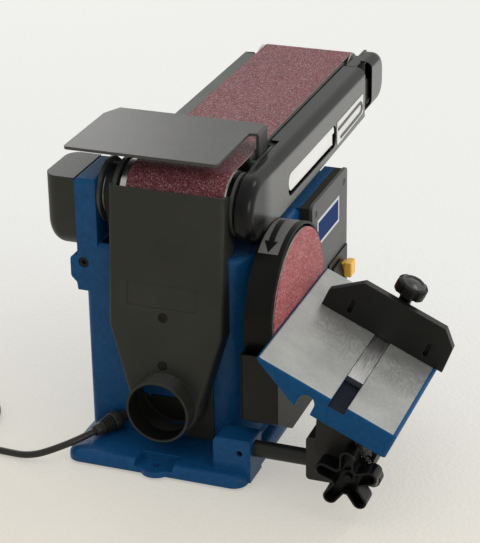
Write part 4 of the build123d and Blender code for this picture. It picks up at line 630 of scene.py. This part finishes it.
# painted sheen on the arm cover's flank, in place of reflected light
painted_flank_sheen = (0.14, 0.14, 0.137)
black = moulded("black_moulding", *deep_black, 0.22, 1500.0, 0.03, (0.02, 0.02, 0.019), 1.2, 0.20, flank_sheen=painted_flank_sheen)
knob_black = moulded("knob_black", *deep_black, 0.3, 1100.0, 0.05, grey(0.02), 0.8, 0.18)
guard_tones = ((0.003, 0.003, 0.002), (0.006, 0.006, 0.005))
guard_black = moulded("guard_black", *guard_tones, 0.36, 1500.0, 0.04, (0.04, 0.04, 0.038), 0.8, 0.12)
box_tones = ((0.008, 0.008, 0.006), (0.012, 0.012, 0.010))
box_black = moulded("box_black", *box_tones, 0.45, 1300.0, 0.06, (0.04, 0.04, 0.036), 0.8, 0.2)
panel_tones = ((0.085, 0.086, 0.085), (0.105, 0.105, 0.103))
panel_grey = moulded("panel_grey", *panel_tones, 0.42, 1500.0, 0.05, (0.17, 0.17, 0.165))
white_moulding = moulded("white_moulding", (0.86, 0.86, 0.845), (0.90, 0.90, 0.885), 0.34, 1500.0, 0.02)
key_yellow = moulded("key_yellow", (0.93, 0.50, 0.075), (0.97, 0.60, 0.12), 0.32, 1400.0, 0.03, (0.85, 0.55, 0.18))
wears(black, "arm_cover", "arm_end_cap")
wears(knob_black, "tilt_knob", "tracking_knob", "mitre_knob")
wears(knob_black, "switch_body", "switch_paddle", "switch_screws", "motor_fan")
wears(guard_black, "disc_guard")
wears(box_black, "lower_guard")
wears(panel_grey, "switch_panel")
wears(white_moulding, "tension_lever")
wears(key_yellow, "safety_key")
print("plastics: covers, knobs, guards, switch panel, lever and key")

# %% [markdown]
# The chute and the left cover are charcoal, and shade is painted inside the dust outlet as a darker tone. A point
# belongs to the bore when it is near the bore's axis, so we measure its distance from that line and mix in the darker
# painted shade within it. The new mix takes the place of the colour that the function had joined to the shader.

# %% Charcoal covers
charcoal_tones = ((0.021, 0.022, 0.018), (0.030, 0.031, 0.026))
top_speckle_tone = (0.075, 0.075, 0.070)
charcoal = moulded("charcoal_moulding", *charcoal_tones, 0.42, 1300.0, 0.06, (0.05, 0.05, 0.045), top=top_speckle_tone)
BORE_AXIS, BORE_INSIDE, BORE_OUTSIDE = (0, 0, 0.064), 0.0303, 0.0312
across_bore = charcoal.add("VectorMath", operation="MULTIPLY")
charcoal.join(charcoal.where.outputs["Object"], across_bore.inputs[0])
across_bore.inputs[1].default_value = (1, 0, 1)
from_axis = charcoal.add("VectorMath", operation="DISTANCE")
charcoal.join(across_bore.outputs["Vector"], from_axis.inputs[0])
from_axis.inputs[1].default_value = BORE_AXIS
# painted shade: the inside of the dust outlet is darkened
bore_painted_shade = charcoal.between(from_axis.outputs["Value"], 1.0, 0.0, BORE_INSIDE, BORE_OUTSIDE)
outside = charcoal.shader.inputs["Base Color"].links[0].from_socket
charcoal.join(charcoal.mix(bore_painted_shade, outside, (0.006, 0.006, 0.005)), charcoal.shader.inputs["Base Color"])
wears(charcoal, "left_cover", "dust_chute")
print("charcoal on left_cover and dust_chute")

# %% [markdown]
# ### Coated abrasive
#
# Sandpaper is cloth with grains of aluminium oxide set in red resin. Close up it is a crowd of small stones, some dark
# in their own shade and some that flash. A Voronoi texture gives one cell per grain and one random number per cell;
# the number picks the colour and how far the grain stands out. The cut edge shows the pale cloth, which we find by
# asking whether the surface faces sideways.

# %% Grit
def coated(name, grain, tones, sideways):
    f = Finish(name, 0.62, Specular_IOR_Level=0.3)
    stones = f.add("TexVoronoi", Scale=grain, feature="F1")
    f.join(f.where.outputs["Object"], stones.inputs["Vector"])
    lot = f.add("SeparateColor")
    f.join(stones.outputs["Color"], lot.inputs["Color"])
    crowd = f.shades(lot.outputs["Red"], *tones)
    drift = f.shades(f.speckle(60.0, 3.0), (0.3, (0.84, 0.82, 0.82)), (0.7, (1.0, 1.0, 1.0)))
    toned = f.add("Mix", data_type="RGBA", blend_type="MULTIPLY")
    toned.inputs["Factor"].default_value = 1.0
    f.join(crowd, toned.inputs[6])
    f.join(drift, toned.inputs[7])
    size = f.add("Math", operation="ABSOLUTE")
    f.join(measured(f, "Normal", sideways), size.inputs[0])
    cut = f.between(size.outputs[0], 0.0, 1.0, 0.6, 0.75)
    f.join(f.mix(cut, toned.outputs[2], (0.42, 0.34, 0.29)), f.shader.inputs["Base Color"])
    height = f.add("Math", operation="MULTIPLY_ADD")
    f.join(lot.outputs["Green"], height.inputs[0])
    height.inputs[1].default_value = 0.7
    f.join(stones.outputs["Distance"], height.inputs[2])
    f.join(f.between(lot.outputs["Blue"], 0.38, 0.8), f.shader.inputs["Roughness"])
    relief(f, height.outputs[0], 0.35, 0.8, 0)
    return f


rose = [
    (0.0, (0.080, 0.010, 0.015)),
    (0.35, (0.155, 0.030, 0.038)),
    (0.65, (0.240, 0.062, 0.074)),
    (0.88, (0.340, 0.130, 0.142)),
    (1.0, (0.560, 0.380, 0.380)),
]
belt_grit = coated("belt_grit", 1250.0, rose, (1, 0, 0))
paler_rose = [(at, (min(r * 2.0, 0.9), g * 1.7, b * 1.6)) for at, (r, g, b) in rose]
disc_grit = coated("disc_grit", 1400.0, paler_rose, (0, 0, 1))
wears(belt_grit, "sanding_belt")
wears(disc_grit, "abrasive_disc")
print("grit on belt and disc")

# %% [markdown]
# ### Bare and coated metals
#
# Metal is told apart by its streaks. A turned drum has fine rings, a drawn rod has lines along its length, a ground
# table has a cloudy grain. Stretching a noise along one direction gives all of these. Metallic is set on the shader
# itself; only colour and roughness vary.

# %% Bright metals
def streaked(name, dark, light, shine, stretch, scale=260.0):
    f = Finish(name, shine, Metallic=1.0)
    lines = f.speckle(scale, 3.0, stretch)
    haze = f.speckle(40.0, 3.0)
    blend = f.add("Math", operation="MULTIPLY_ADD")
    f.join(haze, blend.inputs[0])
    blend.inputs[1].default_value = 0.5
    f.join(lines, blend.inputs[2])
    f.join(f.shades(blend.outputs[0], (0.5, dark), (1.0, light)), f.shader.inputs["Base Color"])
    f.join(f.between(lines, shine - 0.08, shine + 0.1), f.shader.inputs["Roughness"])
    relief(f, lines, depth_mm=0.02, strength=0.5, round_mm=0.5)
    return f


turned_aluminium = streaked("turned_aluminium", (0.42, 0.42, 0.40), (0.66, 0.65, 0.62), 0.30, (6, 0.4, 0.4))
drawn_steel = streaked("drawn_steel", (0.34, 0.34, 0.34), (0.56, 0.56, 0.55), 0.28, (0.3, 6, 6))
zinc_plate = streaked("zinc_plate", (0.45, 0.45, 0.45), (0.68, 0.68, 0.67), 0.30, (1, 1, 1), 500.0)
drawn_bar = streaked("drawn_bar", (0.51, 0.51, 0.50), (0.72, 0.72, 0.70), 0.36, (8, 0.25, 8))
core_steel = streaked("core_steel", (0.16, 0.15, 0.14), (0.30, 0.28, 0.26), 0.42, (30, 0.2, 0.2))
spring_wire = streaked("spring_wire", (0.22, 0.22, 0.23), (0.42, 0.42, 0.42), 0.26, (1, 1, 1), 700.0)
wears(turned_aluminium, "disc_plate", "drive_drum", "idler_drum", "motor_pulley", "drum_pulley")
wears(drawn_steel, "motor_shaft", "drum_shaft", "idler_axle", "lever_pivot", "motor_bearings", "drum_bearings")
wears(zinc_plate, "angle_pointer", "scale_plate")
wears(drawn_bar, "mitre_bar")
wears(core_steel, "stator", "rotor")
wears(spring_wire, "tension_spring")
print("bright metals on 17 pieces")

# %% Painted and blackened metals
def painted(name, dark, light, shine, grain, depth_mm, edge, **sockets):
    f = Finish(name, shine, Specular_IOR_Level=0.3, **sockets)
    skin = f.speckle(grain, 2.0)
    cloud = f.speckle(18.0, 4.0)
    colour = f.mix(edge_mask(f, 0.6), f.shades(cloud, (0.3, dark), (0.7, light)), edge)
    f.join(colour, f.shader.inputs["Base Color"])
    f.join(f.between(skin, shine - 0.08, shine + 0.08), f.shader.inputs["Roughness"])
    relief(f, skin, depth_mm, 0.6, 0.7)
    return f


stop_grey = painted("stop_grey", (0.042, 0.042, 0.041), (0.056, 0.056, 0.054), 0.34, 1400.0, 0.05, (0.15, 0.15, 0.145))
arm_grey = painted("arm_grey", (0.040, 0.046, 0.042), (0.060, 0.067, 0.062), 0.42, 1000.0, 0.06, (0.15, 0.15, 0.14))
blackened_tones = ((0.014, 0.014, 0.012), (0.022, 0.022, 0.019))
blackened = painted("blackened_steel", *blackened_tones, 0.42, 800.0, 0.08, (0.06, 0.06, 0.055))
black_iron = painted("black_iron", (0.006, 0.006, 0.005), (0.011, 0.011, 0.009), 0.44, 420.0, 0.25, (0.04, 0.04, 0.036))
fence_tones = ((0.006, 0.006, 0.005), (0.010, 0.010, 0.008))
fence_black = painted("fence_black", *fence_tones, 0.36, 900.0, 0.06, (0.09, 0.09, 0.085))
motor_paint = painted("motor_paint", (0.040, 0.041, 0.042), (0.060, 0.061, 0.062), 0.45, 600.0, 0.10, grey(0.16))
screw_tones = (grey(0.010), (0.020, 0.020, 0.019))
dark_screw = painted("dark_screw", *screw_tones, 0.30, 1500.0, 0.03, (0.12, 0.12, 0.115), Metallic=0.8)
wears(stop_grey, "work_stop")
wears(arm_grey, "arm_frame")
wears(blackened, "table_rod", "rod_bracket", "idler_fork", "tension_link")
wears(black_iron, "table_trunnion")
wears(fence_black, "mitre_head")
wears(motor_paint, "motor_shell", "motor_flange")
wears(dark_screw, "chute_screws", "arm_lock_screw", "rod_set_screw", "pointer_screw", "stop_bolt")
print("painted metals on 15 pieces")

# %% [markdown]
# ### The disc table: ground on top, painted below
#
# The table is one casting with two finishes. Its top was ground flat and left bare, the skirt and the slot are painted.
# A material can tell them apart by the direction of the surface: where the object's own normal points out of the
# table, and the point lies in the table's plane and inside its rim, it is bare metal. Facing up but deeper, it is the
# slot's floor, where shade is painted in as a dark navy. The skirt's edges get a painted highlight in paler blue. The
# table tilts, but its own axes tilt with it.

# %% Table finish
TABLE_TILT, TABLE_WIDE = math.radians(24.4), 0.1474
RIM_INNER, RIM_OUTER = 0.0042, 0.0036
PLANE_TOP, PLANE_LOW, SLOT_LOW = 0.001, 0.003, 0.006
table_up = Vector((math.sin(TABLE_TILT), 0, math.cos(TABLE_TILT)))
table_along = Vector((math.cos(TABLE_TILT), 0, -math.sin(TABLE_TILT)))
table_corner = Vector((0.114, 0.0, 0.15795))
table = Finish("ground_table", 0.42, Specular_IOR_Level=0.35)
grinding = table.speckle(700.0, 3.0, (1.0, 0.35, 1.0))
clouds = table.speckle(34.0, 4.0)
bare = table.shades(clouds, (0.25, (0.275, 0.28, 0.268)), (0.75, (0.395, 0.40, 0.383)))
fleck = table.mix(table.between(grinding, 0.0, 0.35, 0.45, 0.75), bare, (0.54, 0.54, 0.52))
skirt_hills = table.speckle(240.0, 2.0)
skirt = table.shades(skirt_hills, (0.3, (0.005, 0.057, 0.154)), (0.7, (0.008, 0.072, 0.192)))
plane_at = table_corner.dot(table_up)
rim_at = table_corner.dot(table_along) + TABLE_WIDE
height = measured(table, "Object", table_up)
facing_up = table.between(measured(table, "Normal", table_up), 0.0, 1.0, 0.9, 0.97)
in_plane = table.between(height, 0.0, 1.0, plane_at - PLANE_LOW, plane_at - PLANE_TOP)
reach = measured(table, "Object", table_along)
inside_rim = table.between(reach, 1.0, 0.0, rim_at - RIM_INNER, rim_at - RIM_OUTER)
top_share = both(table, both(table, facing_up, in_plane), inside_rim)
# painted shade: the slot's floor is darkened to a deep navy
slot_painted_shade = both(table, facing_up, table.between(height, 1.0, 0.0, plane_at - SLOT_LOW, plane_at - PLANE_LOW))
# painted highlight: the skirt's edges are lightened as if light caught the rounded rim
skirt_edge_highlight = table.mix(edge_mask(table, 1.2), skirt, (0.10, 0.20, 0.33))
painted_part = table.mix(slot_painted_shade, skirt_edge_highlight, (0.002, 0.005, 0.014))
table.join(table.mix(top_share, painted_part, fleck), table.shader.inputs["Base Color"])
table.join(table.between(top_share, 0.0, 0.5, 0.0, 1.0), table.shader.inputs["Metallic"])
table.join(table.between(grinding, 0.28, 0.50), table.shader.inputs["Roughness"])
table.join(table.between(top_share, 0.08, 0.35, 0.0, 1.0), table.shader.inputs["Specular IOR Level"])
relief(table, grinding, 0.08, 0.5, 1.6)
wears(table, "table_top")
print("table plane at", round(plane_at, 4))

# %% [markdown]
# ### Rubber, lead and plate
#
# Rubber is dark and never quite black; it takes dust, so its shine is uneven. The lead, its sleeve, the plug and the
# feet share it. The small plate on the switch panel is plain blue with a white line round it: the line is drawn by
# measuring how far a point is from the plate's middle, first one way, then the other.

# %% Rubber
rubber = moulded("lead_rubber", (0.024, 0.023, 0.020), (0.036, 0.035, 0.031), 0.34, 700.0, 0.06, None, 0.4)
tooth_rubber = moulded("tooth_rubber", grey(0.012), grey(0.022), 0.6, 500.0, 0.10, None, 0.3)
strap = moulded("strap_weave", grey(0.016), grey(0.030), 0.75, 2600.0, 0.25, None, 0)
wears(rubber, mains_lead, sleeve, plug_body, "rubber_feet")
wears(rubber, "cord", "cord_coil", "plug", "cord_gland")
wears(tooth_rubber, "drive_belt")
wears(strap, coil_tie)
wears(zinc_plate, *plug_pins)
print("rubber on lead, sleeve, plug and feet")

# %% Plate
LINE_IN, LINE_OUT = 0.0032, 0.0029
plate_low, plate_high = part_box("front_plate")
plate = Finish("blue_plate", 0.6, Specular_IOR_Level=0.06)
spread = plate.add("SeparateXYZ")
plate.join(plate.where.outputs["Object"], spread.inputs["Vector"])
margins = []
for k, axis in ((1, "Y"), (2, "Z")):
    half = (plate_high[k] - plate_low[k]) / 2
    off = plate.add("Math", operation="SUBTRACT")
    plate.join(spread.outputs[axis], off.inputs[0])
    off.inputs[1].default_value = (plate_high[k] + plate_low[k]) / 2
    away = plate.add("Math", operation="ABSOLUTE")
    plate.join(off.outputs[0], away.inputs[0])
    margins.append(plate.between(away.outputs[0], 0.0, 1.0, half - LINE_IN, half - LINE_OUT))
nearest = plate.add("Math", operation="MAXIMUM")
plate.join(margins[0], nearest.inputs[0])
plate.join(margins[1], nearest.inputs[1])
ink = plate.shades(plate.speckle(900.0, 2.0), (0.3, (0.005, 0.028, 0.12)), (0.7, (0.008, 0.040, 0.16)))
plate.join(plate.mix(nearest.outputs[0], ink, (0.66, 0.68, 0.70)), plate.shader.inputs["Base Color"])
relief(plate, plate.speckle(1500.0, 2.0), 0.02, 0.5, 0.3)
wears(plate, "front_plate")
print("plate", [round(1000 * (b - a), 1) for a, b in zip(plate_low, plate_high)])

# %% [markdown]
# ## Marks on the guard
#
# A grey patch on the disc guard carries a plain arrow that shows which way the disc turns. The guard is a cylinder
# about the motor's axis, so the patch is a strip of that cylinder a hair wider than it: we step round in degrees and
# along in millimetres. The arrow is a second strip on top, whose width changes along the way.

# %% Arrow patch
DISC_AXIS, GUARD_R = (-44.0, 153.45), 80.0
PATCH_FROM, PATCH_STEP, PATCH_LOW, PATCH_HIGH = 122.2, 1.5, 84.6, 104.6
ARROW_FROM, ARROW_STEP, ARROW_X, ARROW_SLANT = 121.0, 1.25, 94.6, 0.12
HEAD_ROWS, HEAD_TIP, HEAD_GROWS, SHAFT_HALF = 8, 0.15, 0.82, 2.9


def on_guard(x, degrees, lift):
    a = math.radians(degrees)
    r = GUARD_R + lift
    return (x, DISC_AXIS[0] + r * math.cos(a), DISC_AXIS[1] + r * math.sin(a))


def guard_strip(name, rows, lift):
    points, faces = [], []
    for degrees, x_low, x_high in rows:
        for height in (0.02, lift):
            points += [on_guard(x_low, degrees, height), on_guard(x_high, degrees, height)]
    for k in range(len(rows) - 1):
        a, b = 4 * k, 4 * k + 4
        faces += [(a + 2, a + 3, b + 3, b + 2), (a, b, b + 1, a + 1)]
        faces += [(a, a + 2, b + 2, b), (a + 1, b + 1, b + 3, a + 3)]
    last = 4 * len(rows) - 4
    faces += [(0, 1, 3, 2), (last, last + 2, last + 3, last + 1)]
    return new_piece(name, points, faces, "base")


patch_rows = [(PATCH_FROM - PATCH_STEP * k, PATCH_LOW, PATCH_HIGH) for k in range(34)]
patch = guard_strip("arrow_patch", patch_rows, 0.25)
arrow_rows = []
for k in range(33):
    degrees = ARROW_FROM - ARROW_STEP * k
    middle = ARROW_X - ARROW_SLANT * k
    half = HEAD_TIP + HEAD_GROWS * k if k <= HEAD_ROWS else SHAFT_HALF
    arrow_rows.append((degrees, middle - half, middle + half))
    if k == HEAD_ROWS:
        arrow_rows.append((degrees - 0.05, middle - SHAFT_HALF, middle + SHAFT_HALF))
arrow = guard_strip("arrow_mark", arrow_rows, 0.5)
patch_grey = moulded("patch_grey", (0.12, 0.12, 0.116), (0.16, 0.16, 0.155), 0.40, 1500.0, 0.02, None, 0.2)
wears(patch_grey, patch)
wears(knob_black, arrow)
print("arrow rows:", len(arrow_rows))

# %% [markdown]
# ## Panel on the arm
#
# Behind the tension lever the arm's cover carries a pale panel with a raised grey loop, the usual sign for a belt. The
# panel is cut from sheet with round corners. The loop is a curve with a flat round section, bent like a hairpin.

# %% Pale panel and loop
ARM_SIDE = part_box("arm_cover")[1].x * 1000


def round_corners(points, radius, steps=5):
    rounded = []
    for k, here in enumerate(points):
        before, after = Vector(points[k - 1]), Vector(points[(k + 1) % len(points)])
        here = Vector(here)
        a = here + (before - here).normalized() * radius
        b = here + (after - here).normalized() * radius
        for step in range(steps + 1):
            t = step / steps
            rounded.append(tuple(a * (1 - t) ** 2 + here * 2 * t * (1 - t) + b * t * t))
    return rounded


def arm_side(y, z, out):
    return (ARM_SIDE + out, y, z)


panel_outline = round_corners([(167.0, 236.7), (259.5, 241.2), (259.5, 263.2), (167.0, 262.0)], 2.0)
panel = cut_sheet("arm_panel", panel_outline, 0.02, 0.8, arm_side, "arm", 0.3)
LOOP_R = 1.8
loop_line = bpy.data.curves.new("panel_loop", "CURVE")
loop_line.dimensions = "3D"
loop_line.bevel_depth = 1.0
loop_line.bevel_resolution = 3
loop_line.use_fill_caps = True
wire = loop_line.splines.new("NURBS")
loop_points = [(178, 242.4), (211, 243.4), (241, 244.4), (253, 245)]
loop_points += [(253, 256.6), (241, 256.6), (211, 255.6), (169.5, 254)]
wire.points.add(len(loop_points) - 1)
for point, (y, z) in zip(wire.points, loop_points):
    point.co = (*(c / 1000 for c in arm_side(y, z, 0.6)), 1.0)
    point.radius = LOOP_R / 1000
wire.order_u = 3
wire.use_endpoint_u = True
loop_mark = bpy.data.objects.new("panel_loop", loop_line)
bpy.context.scene.collection.objects.link(loop_mark)
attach(loop_mark, "arm")
panel_white = moulded("panel_white", (0.74, 0.74, 0.725), (0.82, 0.82, 0.805), 0.36, 1500.0, 0.02, None, 0.4)
loop_grey = moulded("loop_grey", (0.11, 0.11, 0.107), (0.15, 0.15, 0.146), 0.42, 1500.0, 0.02, None, 0.2)
wears(panel_white, panel)
wears(loop_grey, loop_mark)
print("panel corners:", len(panel_outline))

# %% [markdown]
# ## Behind the openings
#
# Two openings let one look inside. Behind the lower part of the dust outlet stands a dark plate, and the end cap has a
# dark lining behind the tracking knob: both are dark sheets that stand in for the shade inside, so that no daylight
# shows through. Both are cut from sheet with the helper from above; only the place function differs, since one stands
# across the machine and the other along it.

# %% Painted shade: plate in the outlet and lining of the cap
PORT_MIDDLE, PORT_BORE, PORT_BACK, CAP_SIDE = 64.0, 29.4, -98.3, 72.0


def in_outlet(x, z, out):
    return (x, PORT_BACK - out, z)


rim_angles = [math.radians(202 + 136 * k / 24) for k in range(25)]
outlet_shade_outline = [(PORT_BORE * math.cos(a), PORT_MIDDLE + PORT_BORE * math.sin(a)) for a in rim_angles]
outlet_shade_outline += [(23.5, 57.0), (-23.5, 57.0)]
# painted shade: a near-black sheet behind the outlet stands for the shade inside the housing
outlet_shade_piece = cut_sheet("outlet_shade_plate", outlet_shade_outline, 0.0, 1.4, in_outlet, "base", 0.3)
wears(box_black, outlet_shade_piece)


def in_cap(y, z, out):
    return (CAP_SIDE + out, y, z)


cap_shade_corners = [(301.0, 238.0), (328.0, 238.0), (336.0, 246.0), (337.0, 258.0), (336.0, 270.0), (328.0, 279.0)]
cap_shade_outline = round_corners(cap_shade_corners + [(301.0, 283.0)], 2.0)
# painted shade: a near-black sheet inside the end cap stands for the shade behind the tracking knob
cap_shade_piece = cut_sheet("cap_shade_lining", cap_shade_outline, 0.0, 0.7, in_cap, "arm", 0.2)
wears(knob_black, cap_shade_piece)
print("outlet plate corners:", len(outlet_shade_outline), "lining corners:", len(cap_shade_outline))

# %% [markdown]
# ## Tension spring
#
# Inside the arm a spring pushes the fork with the rear roller outwards and so keeps the belt tight. When the lever is
# swung out, the fork is drawn in and the spring is pressed together. The spring is wound here again, on the same helix
# as in the frame, and takes the place of the frame's spring.

# %% Winding the spring
SPRING_ENDS, SPRING_X, SPRING_Z = (224.852, 264.852), 3.7, 269.45
SPRING_RADIUS, SPRING_TURNS, WIRE, END_GAP = 8.5, 6, 1.0, 1.1
first, last = SPRING_ENDS[0] + END_GAP, SPRING_ENDS[1] - END_GAP
steps, sides = 24 * SPRING_TURNS, 8
wire_points, wire_faces = [], []
for i in range(steps + 1):
    a = 2 * math.pi * SPRING_TURNS * i / steps
    out = Vector((math.sin(a), 0, math.cos(a)))
    middle = Vector((SPRING_X, first + (last - first) * i / steps, SPRING_Z)) + out * SPRING_RADIUS
    for k in range(sides):
        b = 2 * math.pi * k / sides
        wire_points.append(middle + (out * math.cos(b) + Vector((0, 1, 0)) * math.sin(b)) * WIRE)
for i in range(steps):
    for k in range(sides):
        a, b = i * sides + k, i * sides + (k + 1) % sides
        wire_faces.append((a, b, b + sides, a + sides))
wire_faces += [tuple(range(sides)), tuple(range(steps * sides, (steps + 1) * sides))]
coil_spring = new_piece("coil_spring", wire_points, wire_faces, "arm")
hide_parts("tension_spring")
wears(spring_wire, coil_spring)
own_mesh(coil_spring)
print("spring turns:", SPRING_TURNS, "points of wire:", len(wire_points))

# %% [markdown]
# ## Top of the clamping knob
#
# The mitre gauge's knob has a raised ring on its head, with a shallow dome inside it. Seen from above they make the
# small crescent of light that tells a moulded knob from a flat disc. One turned profile gives both; it stands on the
# head, square to the table, and turns with the knob.

# %% Ring and dome
GAUGE_ALONG, KNOB_Y, KNOB_UP = 87.2, -12.0, 59.2
knob_top = table_corner * 1000 + table_along * GAUGE_ALONG + Vector((0, KNOB_Y, 0)) + table_up * KNOB_UP
ring_profile = [(12.6, -0.1), (12.4, 0.5), (11.6, 1.1), (10.6, 1.2), (9.8, 0.8), (9.3, 0.2), (8.8, 0.1)]
ring_profile += [(8.2, 0.3), (6.4, 1.0), (4.2, 1.5), (2.0, 1.75), (0.3, 1.8)]
knob_ring = turned("knob_ring", ring_profile, knob_top, table_up, "gauge_knob")
ring_black = moulded("ring_black", grey(0.010), grey(0.016), 0.26, 1100.0, 0.03, None, 0.2, 0.5)
wears(ring_black, knob_ring)
print("rings on the knob's head:", len(ring_profile))

# %% [markdown]
# ## Star knob
#
# The knob that clamps the table's tilt is a thin-walled moulding: five arms round a hub, open towards the front, with
# the end of its bolt in the middle. The frame has it solid. Here its outline is found by asking, for each direction
# from the middle, how far the arms or the hub reach; the same question with a thinner arm gives the inside of the wall.

# %% Outline of the knob
KNOB_MIDDLE = Vector((203.0, 0.0, 47.5))
KNOB_FRONT, KNOB_BACK, KNOB_FLOOR = -183.5, -164.5, -171.0
ARM_REACH, ARM_HALF, HUB_RADIUS, KNOB_WALL = 24.0, 7.0, 14.0, 2.2
FIRST_ARM, ARM_STEP = 16, 72


def star_reach(angle, thinner):
    half, best = ARM_HALF - thinner, HUB_RADIUS - thinner
    for k in range(5):
        off = (angle - math.radians(FIRST_ARM + ARM_STEP * k) + math.pi) % (2 * math.pi) - math.pi
        if abs(off) < math.pi / 2:
            if ARM_REACH * math.tan(abs(off)) < half:
                best = max(best, ARM_REACH * math.cos(off) + math.sqrt(half**2 - (ARM_REACH * math.sin(off)) ** 2))
            else:
                best = max(best, half / math.sin(abs(off)))
    return best


def star_ring(y, thinner, count=240):
    ring = []
    for k in range(count):
        a = 2 * math.pi * k / count
        r = star_reach(a, thinner)
        ring.append((KNOB_MIDDLE.x + r * math.cos(a), y, KNOB_MIDDLE.z + r * math.sin(a)))
    return ring


print("arms reach", ARM_REACH + ARM_HALF, "mm, hub", HUB_RADIUS, "mm")

# %% Walls and bolt
wall_rings = [(KNOB_BACK, 0.0), (KNOB_FRONT + 0.7, 0.0), (KNOB_FRONT, 0.6)]
wall_rings += [(KNOB_FRONT, KNOB_WALL - 0.3), (KNOB_FRONT + 0.5, KNOB_WALL), (KNOB_FLOOR, KNOB_WALL)]
rings = [star_ring(y, thinner) for y, thinner in wall_rings]
around = len(rings[0])
star_faces = [tuple(range(around)), tuple(range((len(rings) - 1) * around, len(rings) * around))]
for i in range(len(rings) - 1):
    for k in range(around):
        a, b = i * around + k, i * around + (k + 1) % around
        star_faces.append((a, b, b + around, a + around))
star_shell = new_piece("star_shell", [p for ring in rings for p in ring], star_faces, "star")
BOLT_R, NUT_R, COLLAR_R, BOLT_TIP = 4.0, 7.5, 12.0, -177.5
nut_front, collar_back = KNOB_FLOOR - 3.0, KNOB_BACK + 6.0
bolt_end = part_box("tilt_knob")[1].y * 1000
bolt_profile = [(BOLT_R - 0.4, BOLT_TIP), (BOLT_R, BOLT_TIP + 0.5), (BOLT_R, nut_front), (NUT_R, nut_front)]
bolt_profile += [(NUT_R, KNOB_BACK), (COLLAR_R, KNOB_BACK), (COLLAR_R, collar_back)]
bolt_profile += [(BOLT_R, collar_back), (BOLT_R, bolt_end)]
star_bolt = turned("star_bolt", bolt_profile, KNOB_MIDDLE, (0, 1, 0), "star")
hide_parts("tilt_knob")
wears(knob_black, star_shell, star_bolt)
print("points round the knob:", around, "bolt ends at", round(bolt_end, 1))

# %% [markdown]
# ## Scales
#
# The table's tilt is read on ticks beside the star knob, and the mitre gauge has a protractor behind its fence. Both
# are rows of fine lines, long ones every few degrees. Each line is a thin bar set on the face, so it keeps its crisp
# edge however near the camera comes.

# %% Tick marks
def ticks(name, place, rows, body, wide=0.35, high=0.12):
    points, faces = [], []
    for angle, start, end in rows:
        along = Vector((math.cos(math.radians(angle)), math.sin(math.radians(angle))))
        side = Vector((-along.y, along.x)) * wide
        corners = [along * start - side, along * end - side, along * end + side, along * start + side]
        first = len(points)
        points += [place(*c, 0.01) for c in corners] + [place(*c, high) for c in corners]
        faces += [tuple(first + k for k in (0, 1, 2, 3)), tuple(first + k for k in (4, 5, 6, 7))]
        faces += [tuple(first + j for j in (k, (k + 1) % 4, (k + 1) % 4 + 4, k + 4)) for k in range(4)]
    return new_piece(name, points, faces, body, smooth=False)


EAR_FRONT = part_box("table_trunnion")[0].y * 1000


def on_ear(u, v, out):
    return (KNOB_MIDDLE.x + u, EAR_FRONT - out, KNOB_MIDDLE.z + v)


tilt_rows = [(20 + 4 * k, 16.5 if k % 5 else 14.5, 19.5) for k in range(16)]
tilt_ticks = ticks("tilt_scale", on_ear, tilt_rows, "table")
wears(zinc_plate, tilt_ticks)


HEAD_Y, HEAD_UP = -26.0, 12.6


def on_head(u, v, out):
    spot = table_corner * 1000 + table_along * (GAUGE_ALONG + u) + table_up * (HEAD_UP + out)
    return tuple(spot + Vector((0, HEAD_Y + v, 0)))


head_rows = [(20 + 5 * k, 46.0 if k % 3 else 43.0, 50.0) for k in range(29)]
head_ticks = ticks("mitre_scale", on_head, head_rows, "gauge_head")
wears(zinc_plate, head_ticks)
print("ticks:", len(tilt_rows), len(head_rows))

# %% [markdown]
# The dressed model has to stay inside the box of the CAD model.
